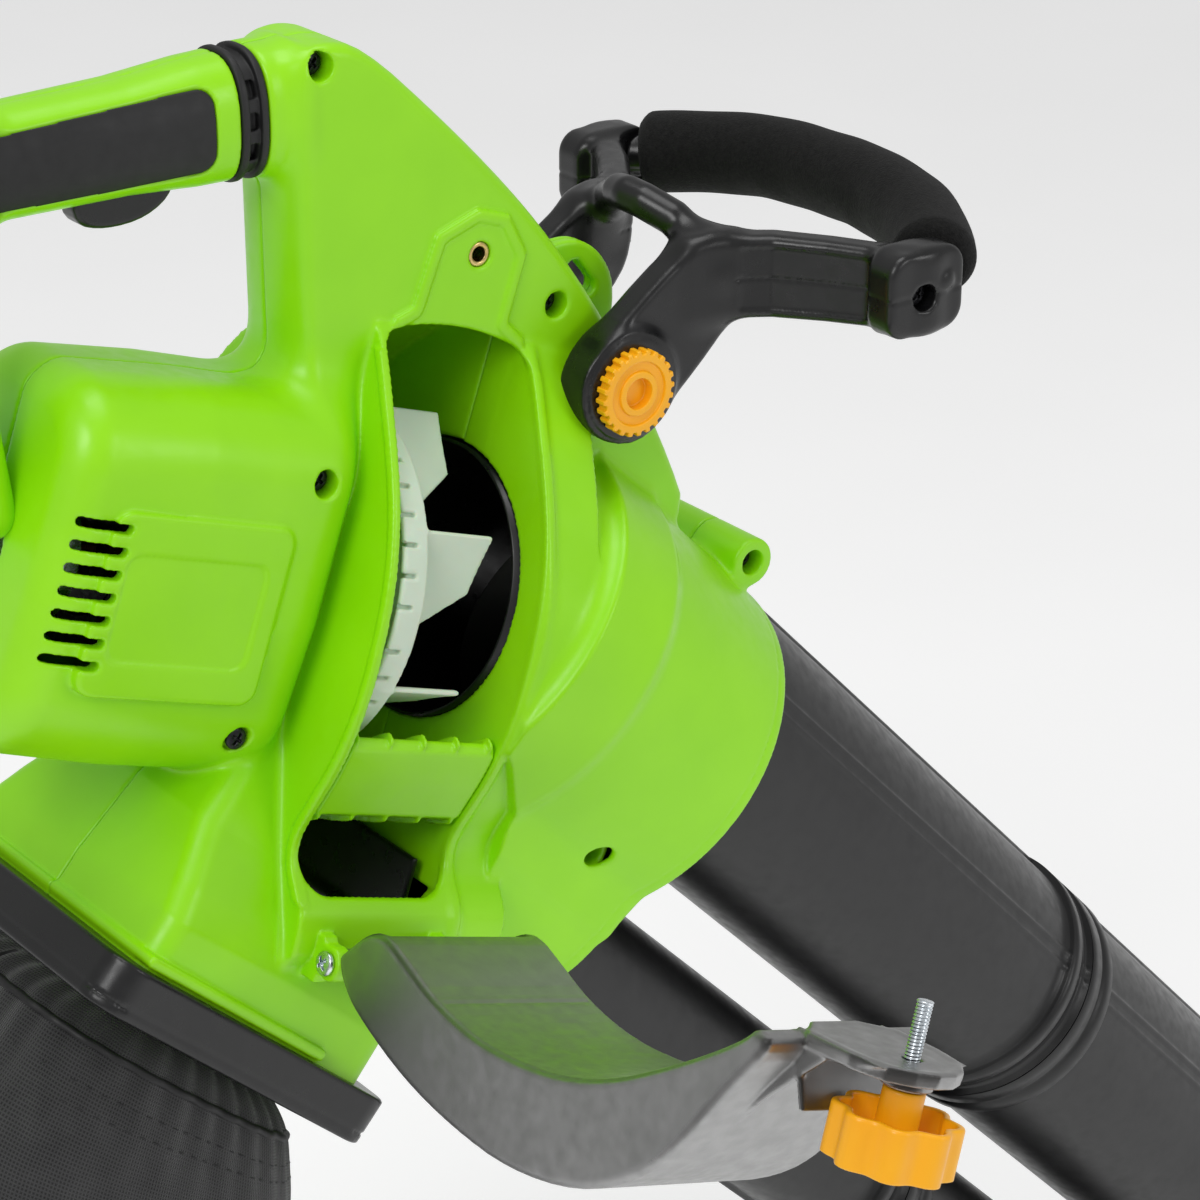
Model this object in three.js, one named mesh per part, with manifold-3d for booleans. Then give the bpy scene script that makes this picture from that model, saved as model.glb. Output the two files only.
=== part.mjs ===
// A hand-held garden blower and vacuum: two moulded housing halves around a fan, a service flap that
// hangs open, a swivelling front handle, a rear trigger handle, a suction tube above a blow tube, and
// a collecting bag on a slip-on frame.
//
// Millimetres. +X is forward, +Y is the operator's left, +Z is up. The origin is the middle of the
// rear grip. Three nested frames carry the parts:
//   machine  the impeller centre, upright
//   core     the same point, pitched with the motor and impeller axis (local x runs along the shaft)
//   tubes    the same point, pitched with the suction and blow tubes (local x runs down the tubes)
import * as THREE from "three";
import { mergeVertices } from "three/addons/utils/BufferGeometryUtils.js";
import Module from "manifold-3d";

const wasm = await Module();
wasm.setup();

// ---------------------------------------------------------------- driving dimensions
const GAP = 0.3; // clearance between touching pieces
const IMPELLER_AT = [75, 0, -196]; // impeller centre, seen from the rear grip
const CORE_PITCH = 20; // degrees below level
const TUBE_PITCH = 46.3;
const BAG_PITCH = 43.5; // the plane of the bag frame
const WALL = 3;

const SPINE_HALF = 22; // half width of the handle column and spine
const DRUM_REAR = -14; // the volute drum, along the shaft
const DRUM_FRONT = 67;
const OPEN_TOP = 104; // service opening, across the shaft
const OPEN_FOOT = -115;

const MOTOR_LENGTH = 150;
const MOTOR_HALF = 50;

const HOOD = { centre: 29, radius: 87, rim: 205 };
const LOBE = { centre: -45, radius: 62 };
const BIG_TUBE = { centre: 53.3, radius: 60.8, wall: 2.6 };
const SMALL_TUBE = { centre: -68, radius: 36, wall: 2.4 };
const TUBE_SPLIT = 520; // where the upper tubes end and the lower ones begin
const TUBE_END = 840;

const HINGE = { y: -85, w: -136, r: 4.2 }; // service flap hinge, across the shaft
const FLAP_OPEN = 85; // degrees from closed to its stop

const PIVOT = { x: 132, z: 60, radius: 23.5 }; // front handle hubs, in the machine frame
const HUB_INNER = 28;
const HUB_OUTER = 46;
const LOOP = { x: 245, y: 103, z: 101, rise: 10, bow: 42, radius: 18.5 }; // foam-covered loop

const GRIP_HALF_WIDTH = 19;
const GRIP_HALF_HEIGHT = 25;

const AXLE = { x: 735, n: -120, radius: 3 }; // in the tube frame
const WHEEL_RADIUS = 34;

// ---------------------------------------------------------------- materials
function finish(color, roughness, metalness = 0) {
  return new THREE.MeshStandardMaterial({ color, roughness, metalness });
}
const MATERIALS = {
  green: finish(0x8fe80b, 0.45),
  black: finish(0x151515, 0.35),
  satinBlack: finish(0x1a1a1b, 0.28),
  foam: finish(0x121212, 0.95),
  rubber: finish(0x17181a, 0.7),
  yellow: finish(0xf5a50a, 0.4),
  smoked: finish(0x3a3d33, 0.15),
  nylon: finish(0xe4ebe2, 0.35),
  steel: finish(0xb9bec4, 0.3, 1),
  darkSteel: finish(0x202124, 0.4, 0.8),
  brass: finish(0xb08d4a, 0.35, 1),
  copper: finish(0xa5623a, 0.4, 1),
  fabric: finish(0x141414, 0.9),
};

// ---------------------------------------------------------------- solids
const X = new THREE.Vector3(1, 0, 0);
const Y = new THREE.Vector3(0, 1, 0);
const Z = new THREE.Vector3(0, 0, 1);

const rad = THREE.MathUtils.degToRad;
const pitched = (angle) => new THREE.Matrix4().makeRotationY(rad(angle));
const shift = (x, y, z) => new THREE.Matrix4().makeTranslation(x, y, z);
const CORE = pitched(CORE_PITCH);
const TUBES = pitched(TUBE_PITCH);
const BAG = pitched(BAG_PITCH);

// A closed geometry as a manifold solid, after the given matrices (the last is applied last).
function solid(geometry, ...matrices) {
  const bare = geometry.clone();
  bare.deleteAttribute("normal");
  bare.deleteAttribute("uv");
  matrices.forEach((m) => bare.applyMatrix4(m));
  const merged = mergeVertices(bare, 1e-4);
  return new wasm.Manifold(
    new wasm.Mesh({
      numProp: 3,
      vertProperties: merged.attributes.position.array,
      triVerts: new Uint32Array(merged.index.array),
    }),
  );
}

const union = (...solids) => solids.flat().reduce((a, b) => a.add(b));
const cut = (body, ...tools) => tools.flat().reduce((a, b) => a.subtract(b), body);

function geometryOf(body) {
  const mesh = body.getMesh();
  const stride = mesh.numProp;
  const positions = new Float32Array(mesh.numVert * 3);
  for (let i = 0; i < mesh.numVert; i++) {
    positions.set(mesh.vertProperties.subarray(i * stride, i * stride + 3), i * 3);
  }
  const geometry = new THREE.BufferGeometry();
  geometry.setAttribute("position", new THREE.BufferAttribute(positions, 3));
  geometry.setIndex(new THREE.BufferAttribute(mesh.triVerts, 1));
  geometry.computeVertexNormals();
  return geometry;
}

// Turns that carry a drawing plane and its extrusion onto two named axes.
const basis = (x, y, z) => new THREE.Matrix4().makeBasis(x, y, z);
const SIDE_VIEW = basis(X, Z, Y.clone().negate()); // drawn in x and z, extruded along y
const END_VIEW = basis(Y, Z, X); // drawn in y and z, extruded along x
const PLAN_VIEW = basis(X, Y, Z);

// A straight-sided prism between two heights, with an optional bevel kept inside the outline.
function prism(outline, from, to, view, bevel = 0, steps = 2) {
  const shape = outline instanceof THREE.Shape ? outline : new THREE.Shape(points(outline));
  const geometry = new THREE.ExtrudeGeometry(shape, {
    depth: to - from - 2 * bevel,
    bevelEnabled: bevel > 0,
    bevelThickness: bevel,
    bevelSize: bevel,
    bevelOffset: -bevel,
    bevelSegments: steps,
    curveSegments: 6,
  });
  const flip = view === SIDE_VIEW ? -1 : 1; // the side view extrudes towards -y
  const start = flip > 0 ? from + bevel : -to + bevel;
  return solid(geometry, shift(0, 0, start), view);
}

const points = (list) => list.map(([a, b]) => new THREE.Vector2(a, b));

// A bar of rectangular section between two corners.
function block(low, high) {
  const size = high.map((v, i) => v - low[i]);
  const middle = high.map((v, i) => (v + low[i]) / 2);
  return solid(new THREE.BoxGeometry(...size), shift(...middle));
}

// A cylinder or cone along an axis, from one end point.
function rod(start, axis, length, radius, segments = 24, endRadius = radius) {
  const geometry = new THREE.CylinderGeometry(endRadius, radius, length, segments);
  const turn = new THREE.Quaternion().setFromUnitVectors(Y, axis.clone().normalize());
  const middle = new THREE.Vector3(...start).addScaledVector(axis.clone().normalize(), length / 2);
  return solid(geometry, new THREE.Matrix4().makeRotationFromQuaternion(turn), shift(...middle));
}

// A turned piece: profile of [radius, height] pairs about an axis through a point.
function turned(profile, start, axis, segments = 24) {
  const geometry = new THREE.LatheGeometry(points(profile), segments);
  const turn = new THREE.Quaternion().setFromUnitVectors(Y, axis.clone().normalize());
  return solid(geometry, new THREE.Matrix4().makeRotationFromQuaternion(turn), shift(...start));
}

// A closed skin through rings of points that all have the same count, in order, capped at both ends.
function loft(rings) {
  const count = rings[0].length;
  const positions = rings.flat(2);
  const index = [];
  for (let r = 0; r + 1 < rings.length; r++) {
    for (let i = 0; i < count; i++) {
      const a = r * count + i;
      const b = r * count + ((i + 1) % count);
      index.push(a, b, b + count, a, b + count, a + count);
    }
  }
  const last = (rings.length - 1) * count;
  for (let i = 1; i + 1 < count; i++) {
    index.push(0, i + 1, i, last, last + i, last + i + 1);
  }
  const geometry = new THREE.BufferGeometry();
  geometry.setAttribute("position", new THREE.Float32BufferAttribute(positions, 3));
  geometry.setIndex(index);
  const made = solid(geometry);
  if (made.volume() > 0) return made;
  geometry.setIndex(index.toReversed());
  return solid(geometry);
}

// A rounded rectangle ring in any plane: place(a, b) turns plane coordinates into a point.
function ring(aLow, aHigh, half, radius, place, steps = 3) {
  const corners = [
    [aHigh - radius, half - radius, 0],
    [aLow + radius, half - radius, 90],
    [aLow + radius, radius - half, 180],
    [aHigh - radius, radius - half, 270],
  ];
  return corners.flatMap(([a, b, start]) =>
    Array.from({ length: steps + 1 }, (_, i) => {
      const t = rad(start + (90 * i) / steps);
      return place(a + radius * Math.cos(t), b + radius * Math.sin(t));
    }),
  );
}

// A round or oval section swept along a smooth line of points.
function swept(path, radiusA, radiusB = radiusA, sides = 12, steps = 24) {
  const curve = new THREE.CatmullRomCurve3(path.map((p) => new THREE.Vector3(...p)));
  const shape = new THREE.Shape();
  shape.absellipse(0, 0, radiusA, radiusB, 0, Math.PI * 2);
  const outline = new THREE.Shape(shape.getSpacedPoints(sides).slice(0, sides));
  const geometry = new THREE.ExtrudeGeometry(outline, { steps, extrudePath: curve });
  return solid(geometry);
}

// ---------------------------------------------------------------- scene graph
const blower = new THREE.Group();
const machine = new THREE.Group();
machine.position.set(...IMPELLER_AT);
blower.add(machine);
const core = new THREE.Group();
core.rotation.y = rad(CORE_PITCH);
machine.add(core);
const tubes = new THREE.Group();
tubes.rotation.y = rad(TUBE_PITCH);
machine.add(tubes);

function add(parent, name, body, material) {
  const mesh = new THREE.Mesh(geometryOf(body.simplify(0.04)), material);
  mesh.name = name;
  parent.add(mesh);
  return mesh;
}

// ---------------------------------------------------------------- housing halves
// Outlines hold only the outer skin; each is drawn again a wall thickness smaller for the hollow.
function insetOutline(outline, by) {
  const count = outline.length;
  const area = outline.reduce((sum, [x, y], i) => {
    const [nx, ny] = outline[(i + 1) % count];
    return sum + x * ny - nx * y;
  }, 0);
  const side = Math.sign(area);
  return outline.map(([x, y], i) => {
    const [px, py] = outline[(i + count - 1) % count];
    const [nx, ny] = outline[(i + 1) % count];
    const before = new THREE.Vector2(x - px, y - py).normalize();
    const after = new THREE.Vector2(nx - x, ny - y).normalize();
    const bisector = new THREE.Vector2(-before.y - after.y, before.x + after.x).normalize();
    const spread = Math.max(0.45, bisector.dot(new THREE.Vector2(-before.y, before.x)));
    return [x + (side * by * bisector.x) / spread, y + (side * by * bisector.y) / spread];
  });
}

const SPINE_OUTLINE = [
  [-14, 60],
  [-14, 201],
  [-6, 212],
  [6, 219],
  [22, 216],
  [60, 181],
  [89, 150],
  [111, 123],
  [139, 82],
  [171, 19],
  [186, -22],
  [120, -40],
  [40, 20],
];

// The right (operator's right, -y) side of the volute, from the top down: it bulges round the
// impeller, necks in under the cut-off and swells again round the outlet.
const DRUM_RIGHT = [
  [-20, 112],
  [-30, 101],
  [-42, 83],
  [-56, 61],
  [-66, 42],
  [-74, 18],
  [-77, -8],
  [-77, -32],
  [-72, -58],
  [-63, -80],
  [-57, -94],
  [-60, -105],
  [-72, -116],
  [-76, -124],
  [-76, -145],
];
const DRUM_LEFT = [
  [76, -145],
  [78, -120],
  [88, -80],
  [96, -40],
  [98, 0],
  [90, 40],
  [68, 78],
  [40, 101],
  [20, 112],
];
const DRUM_OUTLINE = [...DRUM_RIGHT, [-28, -153], [28, -153], ...DRUM_LEFT];

// Half of the motor housing's section, from the top down.
const MOTOR_RIGHT = [
  [-16, 76],
  [-34, 68],
  [-45, 52],
  [-50, 30],
  [-50, -10],
  [-48, -32],
  [-42, -60],
  [-30, -82],
];
const mirrored = (half) => half.map(([y, z]) => [-y, z]).toReversed();
const MOTOR_OUTLINE = [...MOTOR_RIGHT, ...mirrored(MOTOR_RIGHT)];

const motorRing = (u, narrow, tall, inset) =>
  insetOutline(
    MOTOR_OUTLINE.map(([y, z]) => [y * narrow, z * tall]),
    inset,
  ).map(([y, z]) => [u, y, z]);

// The waist of the outlet duct, as rings square to the bag frame's normal.
const DUCT_STATIONS = [
  { t: 60, from: 0, to: 96, half: 32 },
  { t: 104, from: -14, to: 112, half: 52 },
  { t: 142, from: -18, to: 117, half: 73 },
  { t: 178, from: -18, to: 117, half: 74 },
];
const ductRing = ({ t, from, to, half }, inset) =>
  ring(from + inset, to - inset, half - inset, 10, (s, y) => [s, y, -t], 2);

const lobeBody = (radius, centre, from, to) => rod([from, 0, centre], X, to - from, radius, 32);

// The skin that carries the drum's front edge round to the hood's cylinder.
function fairing(inset) {
  const sides = 28;
  const circle = (radius, place) =>
    Array.from({ length: sides }, (_, i) => {
      const t = (2 * Math.PI * i) / sides;
      const at = new THREE.Vector3(...place(radius * Math.sin(t), radius * Math.cos(t)));
      return at;
    });
  const drumEdge = circle(76 - inset, (y, w) => [DRUM_FRONT - 8 + inset, y, w + 2]);
  const hoodEdge = circle(HOOD.radius - 0.6 - inset, (y, n) => [108, y, n + HOOD.centre]);
  return loft([
    drumEdge.map((point) => point.applyMatrix4(CORE).toArray()),
    hoodEdge.map((point) => point.applyMatrix4(TUBES).toArray()),
  ]);
}

function hoodBody(inset) {
  const bridge = loft(
    [78, HOOD.rim].map((s) =>
      ring(LOBE.centre, HOOD.centre, LOBE.radius - 0.8 - inset, 1, (n, y) => [s, y, n], 1),
    ),
  );
  return union(
    lobeBody(HOOD.radius - inset, HOOD.centre, 100 + inset, HOOD.rim),
    lobeBody(LOBE.radius - inset, LOBE.centre, 62 + inset, HOOD.rim),
    bridge,
  )
    .transform(TUBES.elements)
    .add(fairing(inset));
}

function skin(inset) {
  const spine = prism(
    insetOutline(SPINE_OUTLINE, inset),
    -SPINE_HALF + inset,
    SPINE_HALF - inset,
    SIDE_VIEW,
    inset ? 0 : 5,
    1,
  );
  const drum = prism(
    insetOutline(DRUM_OUTLINE, inset),
    DRUM_REAR + inset,
    DRUM_FRONT - inset,
    END_VIEW,
  ).transform(CORE.elements);
  const motor = loft([
    motorRing(DRUM_REAR + 2 - inset, 0.8, 1, inset),
    motorRing(-34, 1, 1, inset),
    motorRing(20 - MOTOR_LENGTH, 0.98, 0.96, inset),
    motorRing(6 - MOTOR_LENGTH, 0.9, 0.88, inset),
    motorRing(-MOTOR_LENGTH + inset, 0.7, 0.7, inset),
  ]).transform(CORE.elements);
  const duct = loft(DUCT_STATIONS.map((station) => ductRing(station, inset))).transform(BAG.elements);
  return { spine, drum, motor, duct, hood: hoodBody(inset) };
}

const outer = skin(0);
const inner = skin(WALL);

// Walls that stand inside the skin.
const FRONT_WALL = prism(insetOutline(DRUM_OUTLINE, 1), DRUM_FRONT - WALL, DRUM_FRONT, END_VIEW);
const INLET_RADIUS = 59;
const inletHole = rod([DRUM_FRONT - 10, 0, 2], X, 30, INLET_RADIUS, 32);
const BLOW_WINDOW = block([DRUM_FRONT - 10, -44, -146], [DRUM_FRONT + 10, 44, -98]);
const frontWall = cut(FRONT_WALL, inletHole, BLOW_WINDOW).transform(CORE.elements);
const rearWall = cut(
  prism(insetOutline(DRUM_OUTLINE, 1), DRUM_REAR, DRUM_REAR + WALL, END_VIEW),
  block([DRUM_REAR - 5, -50, -149], [0, 50, -100]),
).transform(CORE.elements);

// Blind screw posts on the right side: [x, z, face y] in the machine frame.
const WELLS = {
  column: [3, 213, -SPINE_HALF],
  spine: [113, 94, -SPINE_HALF],
  motor_upper: [-19, 58, -MOTOR_HALF],
  motor_lower: [-61, -41, -MOTOR_HALF],
  hood: [98, -136, -66],
  rim: [214, -46, -30],
};
const WELL_RADIUS = 5.6;
const POST_RADIUS = 8.4;
const SCREW_SEAT = 12; // how far a screw head sits below the face
const posts = Object.values(WELLS).map(([x, z, face]) =>
  rod([x, face + 1.5, z], Y, 1.5 - 2 * face - 3 - 1.5, POST_RADIUS, 16),
);
const wellCuts = Object.values(WELLS).flatMap(([x, z, face]) => [
  rod([x, face - 20, z], Y, 20 + SCREW_SEAT, WELL_RADIUS, 16),
  rod([x, face - 20, z], Y, 14 - face + 20, 2.3, 12),
]);

const INSERT = { u: 27.4, w: 142, radius: 5 };
const INSERT_DEPTH = 12;
const insertHole = union(
  rod([INSERT.u, -60, INSERT.w], Y, 60 - SPINE_HALF + INSERT_DEPTH, INSERT.radius + GAP, 20),
  rod([INSERT.u, -60, INSERT.w], Y, 59, 3.6, 16),
);
const insertPost = rod([INSERT.u, -SPINE_HALF - 2, INSERT.w], Y, SPINE_HALF + 2, 9, 20);

// The raised pad above the opening that the flap's tab closes on.
const PAD_OUTLINE = [
  [-12, 100],
  [-6, 112],
  [2, 117],
  [3, 147],
  [20, 160],
  [36, 160],
  [50, 146],
  [50, 117],
  [60, 113],
  [66, 100],
];
const PAD_PROUD = 2.2;
const pad = prism(PAD_OUTLINE, -SPINE_HALF - PAD_PROUD, -SPINE_HALF + 2, SIDE_VIEW);

// The screw boss between the spine's foot and the hood rim.
const boss = rod([WELLS.rim[0], -30, WELLS.rim[1]], Y, 60, 11, 20);

const openingCut = prism(
  [
    [-16, OPEN_TOP],
    [-200, OPEN_TOP],
    [-200, OPEN_FOOT],
    [-30, OPEN_FOOT],
    [-30, -60],
    [-18, 40],
  ],
  DRUM_REAR + WALL,
  DRUM_FRONT - WALL,
  END_VIEW,
).transform(CORE.elements);

const pivotBosses = rod([PIVOT.x, GAP - HUB_INNER, PIVOT.z], Y, 2 * (HUB_INNER - GAP), 13, 24);
const pivotBore = rod([PIVOT.x, -60, PIVOT.z], Y, 120, 4.4, 16);

// A flat eye on the spine for the shoulder strap.
const EYE_HALF = 4.5;
const EYE_OUTLINE = [
  [108, 98],
  [122, 112],
  [136, 112],
  [149, 104],
  [157, 90],
  [154, 70],
  [132, 66],
];
const EYE_SLOT = { x: 139, z: 95, length: 11, radius: 4.2 };
const eyeSlot = prism(
  ring(-EYE_SLOT.length / 2 - EYE_SLOT.radius, EYE_SLOT.length / 2 + EYE_SLOT.radius,
    EYE_SLOT.radius, EYE_SLOT.radius - 0.1, (a, b) => [
      EYE_SLOT.x + 0.6 * a - 0.8 * b,
      EYE_SLOT.z - 0.8 * a - 0.6 * b,
    ]),
  -20,
  20,
  SIDE_VIEW,
);
const strapEye = prism(EYE_OUTLINE, -EYE_HALF, EYE_HALF, SIDE_VIEW, 1, 1);

// The collar that the damper and the rear handle follow.
const GRIP_Z = -IMPELLER_AT[2];
const gripRing = (x, halfWidth, halfHeight) =>
  Array.from({ length: 24 }, (_, i) => {
    const t = (2 * Math.PI * i) / 24;
    const squared = (v) => Math.sign(v) * Math.abs(v) ** 0.8;
    return [x, halfWidth * squared(Math.cos(t)), GRIP_Z + halfHeight * squared(Math.sin(t))];
  });
const collar = loft([
  gripRing(-19, GRIP_HALF_WIDTH + 1, GRIP_HALF_HEIGHT),
  gripRing(-4, GRIP_HALF_WIDTH + 1.6, GRIP_HALF_HEIGHT),
]);

const SELECTOR = { u: 57, w: -140, radius: 4 };
const selectorBore = rod([SELECTOR.u, 60, SELECTOR.w], Y, 40, SELECTOR.radius + GAP, 16);

const shaftTunnel = union(
  rod([-200, 0, 0], X, 60, 12, 16),
  rod([DRUM_REAR - 8, 0, 0], X, 12, 41, 28),
).transform(CORE.elements);
const tubeMouths = union(
  rod([120, 0, BIG_TUBE.centre], X, 120, BIG_TUBE.radius + 1, 32),
  rod([120, 0, SMALL_TUBE.centre], X, 120, SMALL_TUBE.radius + 1, 24),
).transform(TUBES.elements);

// Tube sockets inside the hood.
const sockets = union(
  rod([120, 0, BIG_TUBE.centre], X, HOOD.rim - 123, BIG_TUBE.radius + 3.8, 32),
  rod([120, 0, SMALL_TUBE.centre], X, HOOD.rim - 123, SMALL_TUBE.radius + 3.8, 24),
).transform(TUBES.elements);
const rimPlate = union(
  lobeBody(HOOD.radius - 1, HOOD.centre, HOOD.rim - 6, HOOD.rim - 2),
  lobeBody(LOBE.radius - 1, LOBE.centre, HOOD.rim - 6, HOOD.rim - 2),
  block([HOOD.rim - 6, 2.4 - LOBE.radius, LOBE.centre], [HOOD.rim - 2, LOBE.radius - 2.4, HOOD.centre]),
).transform(TUBES.elements);

// Hinge ears beside the opening's foot.
const EAR = [
  [-60, -125],
  [-77, -127],
  [HINGE.y - 7, HINGE.w - 4],
  [HINGE.y - 4, HINGE.w - 9],
  [-72, -150],
  [-60, -150],
];
const EARS = [
  [-4, 3],
  [52, 59],
];
const hingeBore = rod([-20, HINGE.y, HINGE.w], X, 100, 2.4, 16);
const hingeRelief = rod([EARS[0][1], HINGE.y, HINGE.w], X, EARS[1][0] - EARS[0][1], 8.5, 20);
const ears = EARS.map(([from, to]) => prism(EAR, from, to, END_VIEW));

const MOUTH = block([-12, -68, -200], [111, 68, -150]).transform(BAG.elements);
const GUIDE = block([-20, -77, -162.4], [86, -72, -157.4]).transform(BAG.elements);
const guides = [GUIDE, GUIDE.mirror([0, 1, 0])];

const hollow = cut(
  union(inner.spine, inner.drum, inner.motor, inner.duct, inner.hood),
  frontWall,
  rearWall,
);
const shell = cut(
  union(
    outer.spine,
    outer.drum,
    outer.motor,
    outer.duct,
    outer.hood,
    pad.transform(CORE.elements),
    boss,
    guides,
    pivotBosses,
    collar,
  ),
  hollow,
);
const housing = cut(
  union(
    shell,
    posts,
    pivotBosses,
    strapEye,
    insertPost.transform(CORE.elements),
    sockets.intersect(union(outer.hood)),
    rimPlate,
    ears.map((ear) => ear.transform(CORE.elements)),
  ),
  tubeMouths,
  MOUTH,
  openingCut,
  wellCuts,
  eyeSlot,
  pivotBore,
  selectorBore.transform(CORE.elements),
  insertHole.transform(CORE.elements),
  hingeBore.transform(CORE.elements),
  hingeRelief.transform(CORE.elements),
  shaftTunnel,
);
const RIGHT_SIDE = block([-400, -200, -500], [500, -GAP / 2, 400]);
const LEFT_SIDE = block([-400, GAP / 2, -500], [500, 200, 400]);
const largest = (body) => body.decompose().reduce((a, b) => (a.volume() > b.volume() ? a : b));
add(machine, "housing_right", largest(housing.intersect(RIGHT_SIDE)), MATERIALS.green);
add(machine, "housing_left", largest(housing.intersect(LEFT_SIDE)), MATERIALS.green);

// Screws sunk in the posts.
function panScrew(headRadius, headHeight, shankRadius, length, start, axis) {
  const profile = [
    [0, -length],
    [shankRadius, -length],
    [shankRadius, 0],
    [headRadius, 0],
    [headRadius * 0.8, headHeight * 0.8],
    [headRadius * 0.35, headHeight],
    [0, headHeight],
  ];
  return turned(profile, start, axis, 16);
}
for (const [name, [x, z, face]] of Object.entries(WELLS)) {
  const start = [x, face + SCREW_SEAT - GAP, z];
  const screw = panScrew(4.2, 2.6, 1.9, -face - SCREW_SEAT + 11, start, Y.clone().negate());
  add(machine, `housing_screw_${name}`, screw, MATERIALS.darkSteel);
}

// ---------------------------------------------------------------- motor and impeller
const IMPELLER_RADIUS = 75;
const BLADES = 7;
const BLADE_DEPTH = 38;
const BLADE_TIP = 149; // degrees round the shaft of the first blade's tip
const SHAFT_RADIUS = 4;

function impellerBody() {
  const disc = turned(
    [
      [SHAFT_RADIUS + GAP, -8],
      [18, -8],
      [20, -1.2],
      [71, -1.2],
      [71, -7],
      [IMPELLER_RADIUS, -7],
      [IMPELLER_RADIUS, 1.2],
      [22, 1.2],
      [14, 26],
      [SHAFT_RADIUS + GAP, 26],
      [SHAFT_RADIUS + GAP, -8],
    ],
    [0, 0, 0],
    X,
    40,
  );
  const blades = Array.from({ length: BLADES }, (_, i) => {
    const tip = rad(BLADE_TIP + (360 * i) / BLADES);
    const lean = tip + rad(131); // the blade runs back and inwards from its tip
    const along = (s) => [
      (IMPELLER_RADIUS - 1) * Math.cos(tip) + s * Math.cos(lean),
      (IMPELLER_RADIUS - 1) * Math.sin(tip) + s * Math.sin(lean),
    ];
    const side = (s, offset) => {
      const [y, w] = along(s);
      return [y - offset * Math.sin(lean), w + offset * Math.cos(lean)];
    };
    const slab = (u, length) => [
      [u, ...side(0, 1)],
      [u, ...side(length, 1)],
      [u, ...side(length, -1)],
      [u, ...side(0, -1)],
    ];
    return loft([slab(0, 58), slab(BLADE_DEPTH, 27)]);
  });
  return union(disc, blades);
}
add(core, "impeller", impellerBody(), MATERIALS.nylon);

const shaft = rod([-138, 0, 0], X, 172, SHAFT_RADIUS, 20);
add(core, "motor_shaft", shaft, MATERIALS.steel);

const sleeve = (from, to, outerRadius, bore, segments = 24) =>
  turned(
    [
      [bore, from],
      [outerRadius, from],
      [outerRadius, to],
      [bore, to],
      [bore, from],
    ],
    [0, 0, 0],
    X,
    segments,
  );
const nut = cut(
  rod([26 + GAP, 0, 0], X, 6, 8, 6),
  rod([20, 0, 0], X, 20, SHAFT_RADIUS + GAP, 16),
);
add(core, "impeller_nut", nut, MATERIALS.steel);
add(core, "rotor_core", sleeve(-105, -52, 24, SHAFT_RADIUS + GAP), MATERIALS.darkSteel);
add(core, "commutator", sleeve(-124, -108, 12, SHAFT_RADIUS + GAP, 16), MATERIALS.copper);
add(core, "motor_stator", sleeve(-106, -50, 40, 26), MATERIALS.copper);
add(core, "front_bearing", sleeve(-46, -38, 11, SHAFT_RADIUS + GAP, 16), MATERIALS.steel);
add(core, "rear_bearing", sleeve(-136, -128, 11, SHAFT_RADIUS + GAP, 16), MATERIALS.steel);
add(core, "front_bearing_bracket", sleeve(-45.7, -40, 37, 11 + GAP), MATERIALS.black);
add(core, "rear_bearing_bracket", sleeve(-134, -128, 32, 11 + GAP), MATERIALS.black);

function coolingFan() {
  const hub = sleeve(-33, -29, 33, SHAFT_RADIUS + GAP, 24);
  const blades = Array.from({ length: 8 }, (_, i) =>
    block([-30, -1, 9], [-20, 1, 32]).transform(
      new THREE.Matrix4().makeRotationX((2 * Math.PI * i) / 8).elements,
    ),
  );
  return union(hub, blades);
}
add(core, "cooling_fan", coolingFan(), MATERIALS.black);

for (const [side, sign] of [["left", 1], ["right", -1]]) {
  const brush = block([-120, 12.4, -3], [-112, 28, 3]);
  const placed = sign > 0 ? brush : brush.mirror([0, 1, 0]);
  add(core, `carbon_brush_${side}`, placed, MATERIALS.darkSteel);
}

const mountPlate = sleeve(DRUM_REAR + WALL + GAP, DRUM_REAR + WALL + 2.5, 46, 7, 28);
add(core, "motor_mount_plate", mountPlate, MATERIALS.black);

// The ribbed tongue that splits the outlet from the impeller.
const TONGUE = [
  [-70, -49],
  [-52, -59],
  [-20, -83],
  [16, -91],
  [18, -99],
  [-16, -101],
  [-40, -95],
  [-58, -84],
  [-66, -68],
];
const tongueRibs = [0, 1, 2].map((i) =>
  prism(
    [
      [-70, -50],
      [-66, -68],
      [-58, -84],
      [-40, -95],
      [-36, -99],
      [-60, -88],
      [-69, -72],
      [-71.6, -54],
    ],
    6 + 18 * i,
    9 + 18 * i,
    END_VIEW,
  ),
);
const tongueBody = prism(TONGUE, DRUM_REAR + WALL + GAP, DRUM_FRONT - WALL - GAP, END_VIEW);
add(core, "cutoff_tongue", union(tongueBody, tongueRibs), MATERIALS.green);

const insertSleeve = turned(
  [
    [3.2, 0],
    [INSERT.radius, 0],
    [INSERT.radius, INSERT_DEPTH - 2 * GAP],
    [3.2, INSERT_DEPTH - 2 * GAP],
    [3.2, 0],
  ],
  [INSERT.u, GAP - SPINE_HALF, INSERT.w],
  Y,
  20,
);
add(core, "threaded_insert", insertSleeve, MATERIALS.brass);

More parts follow.
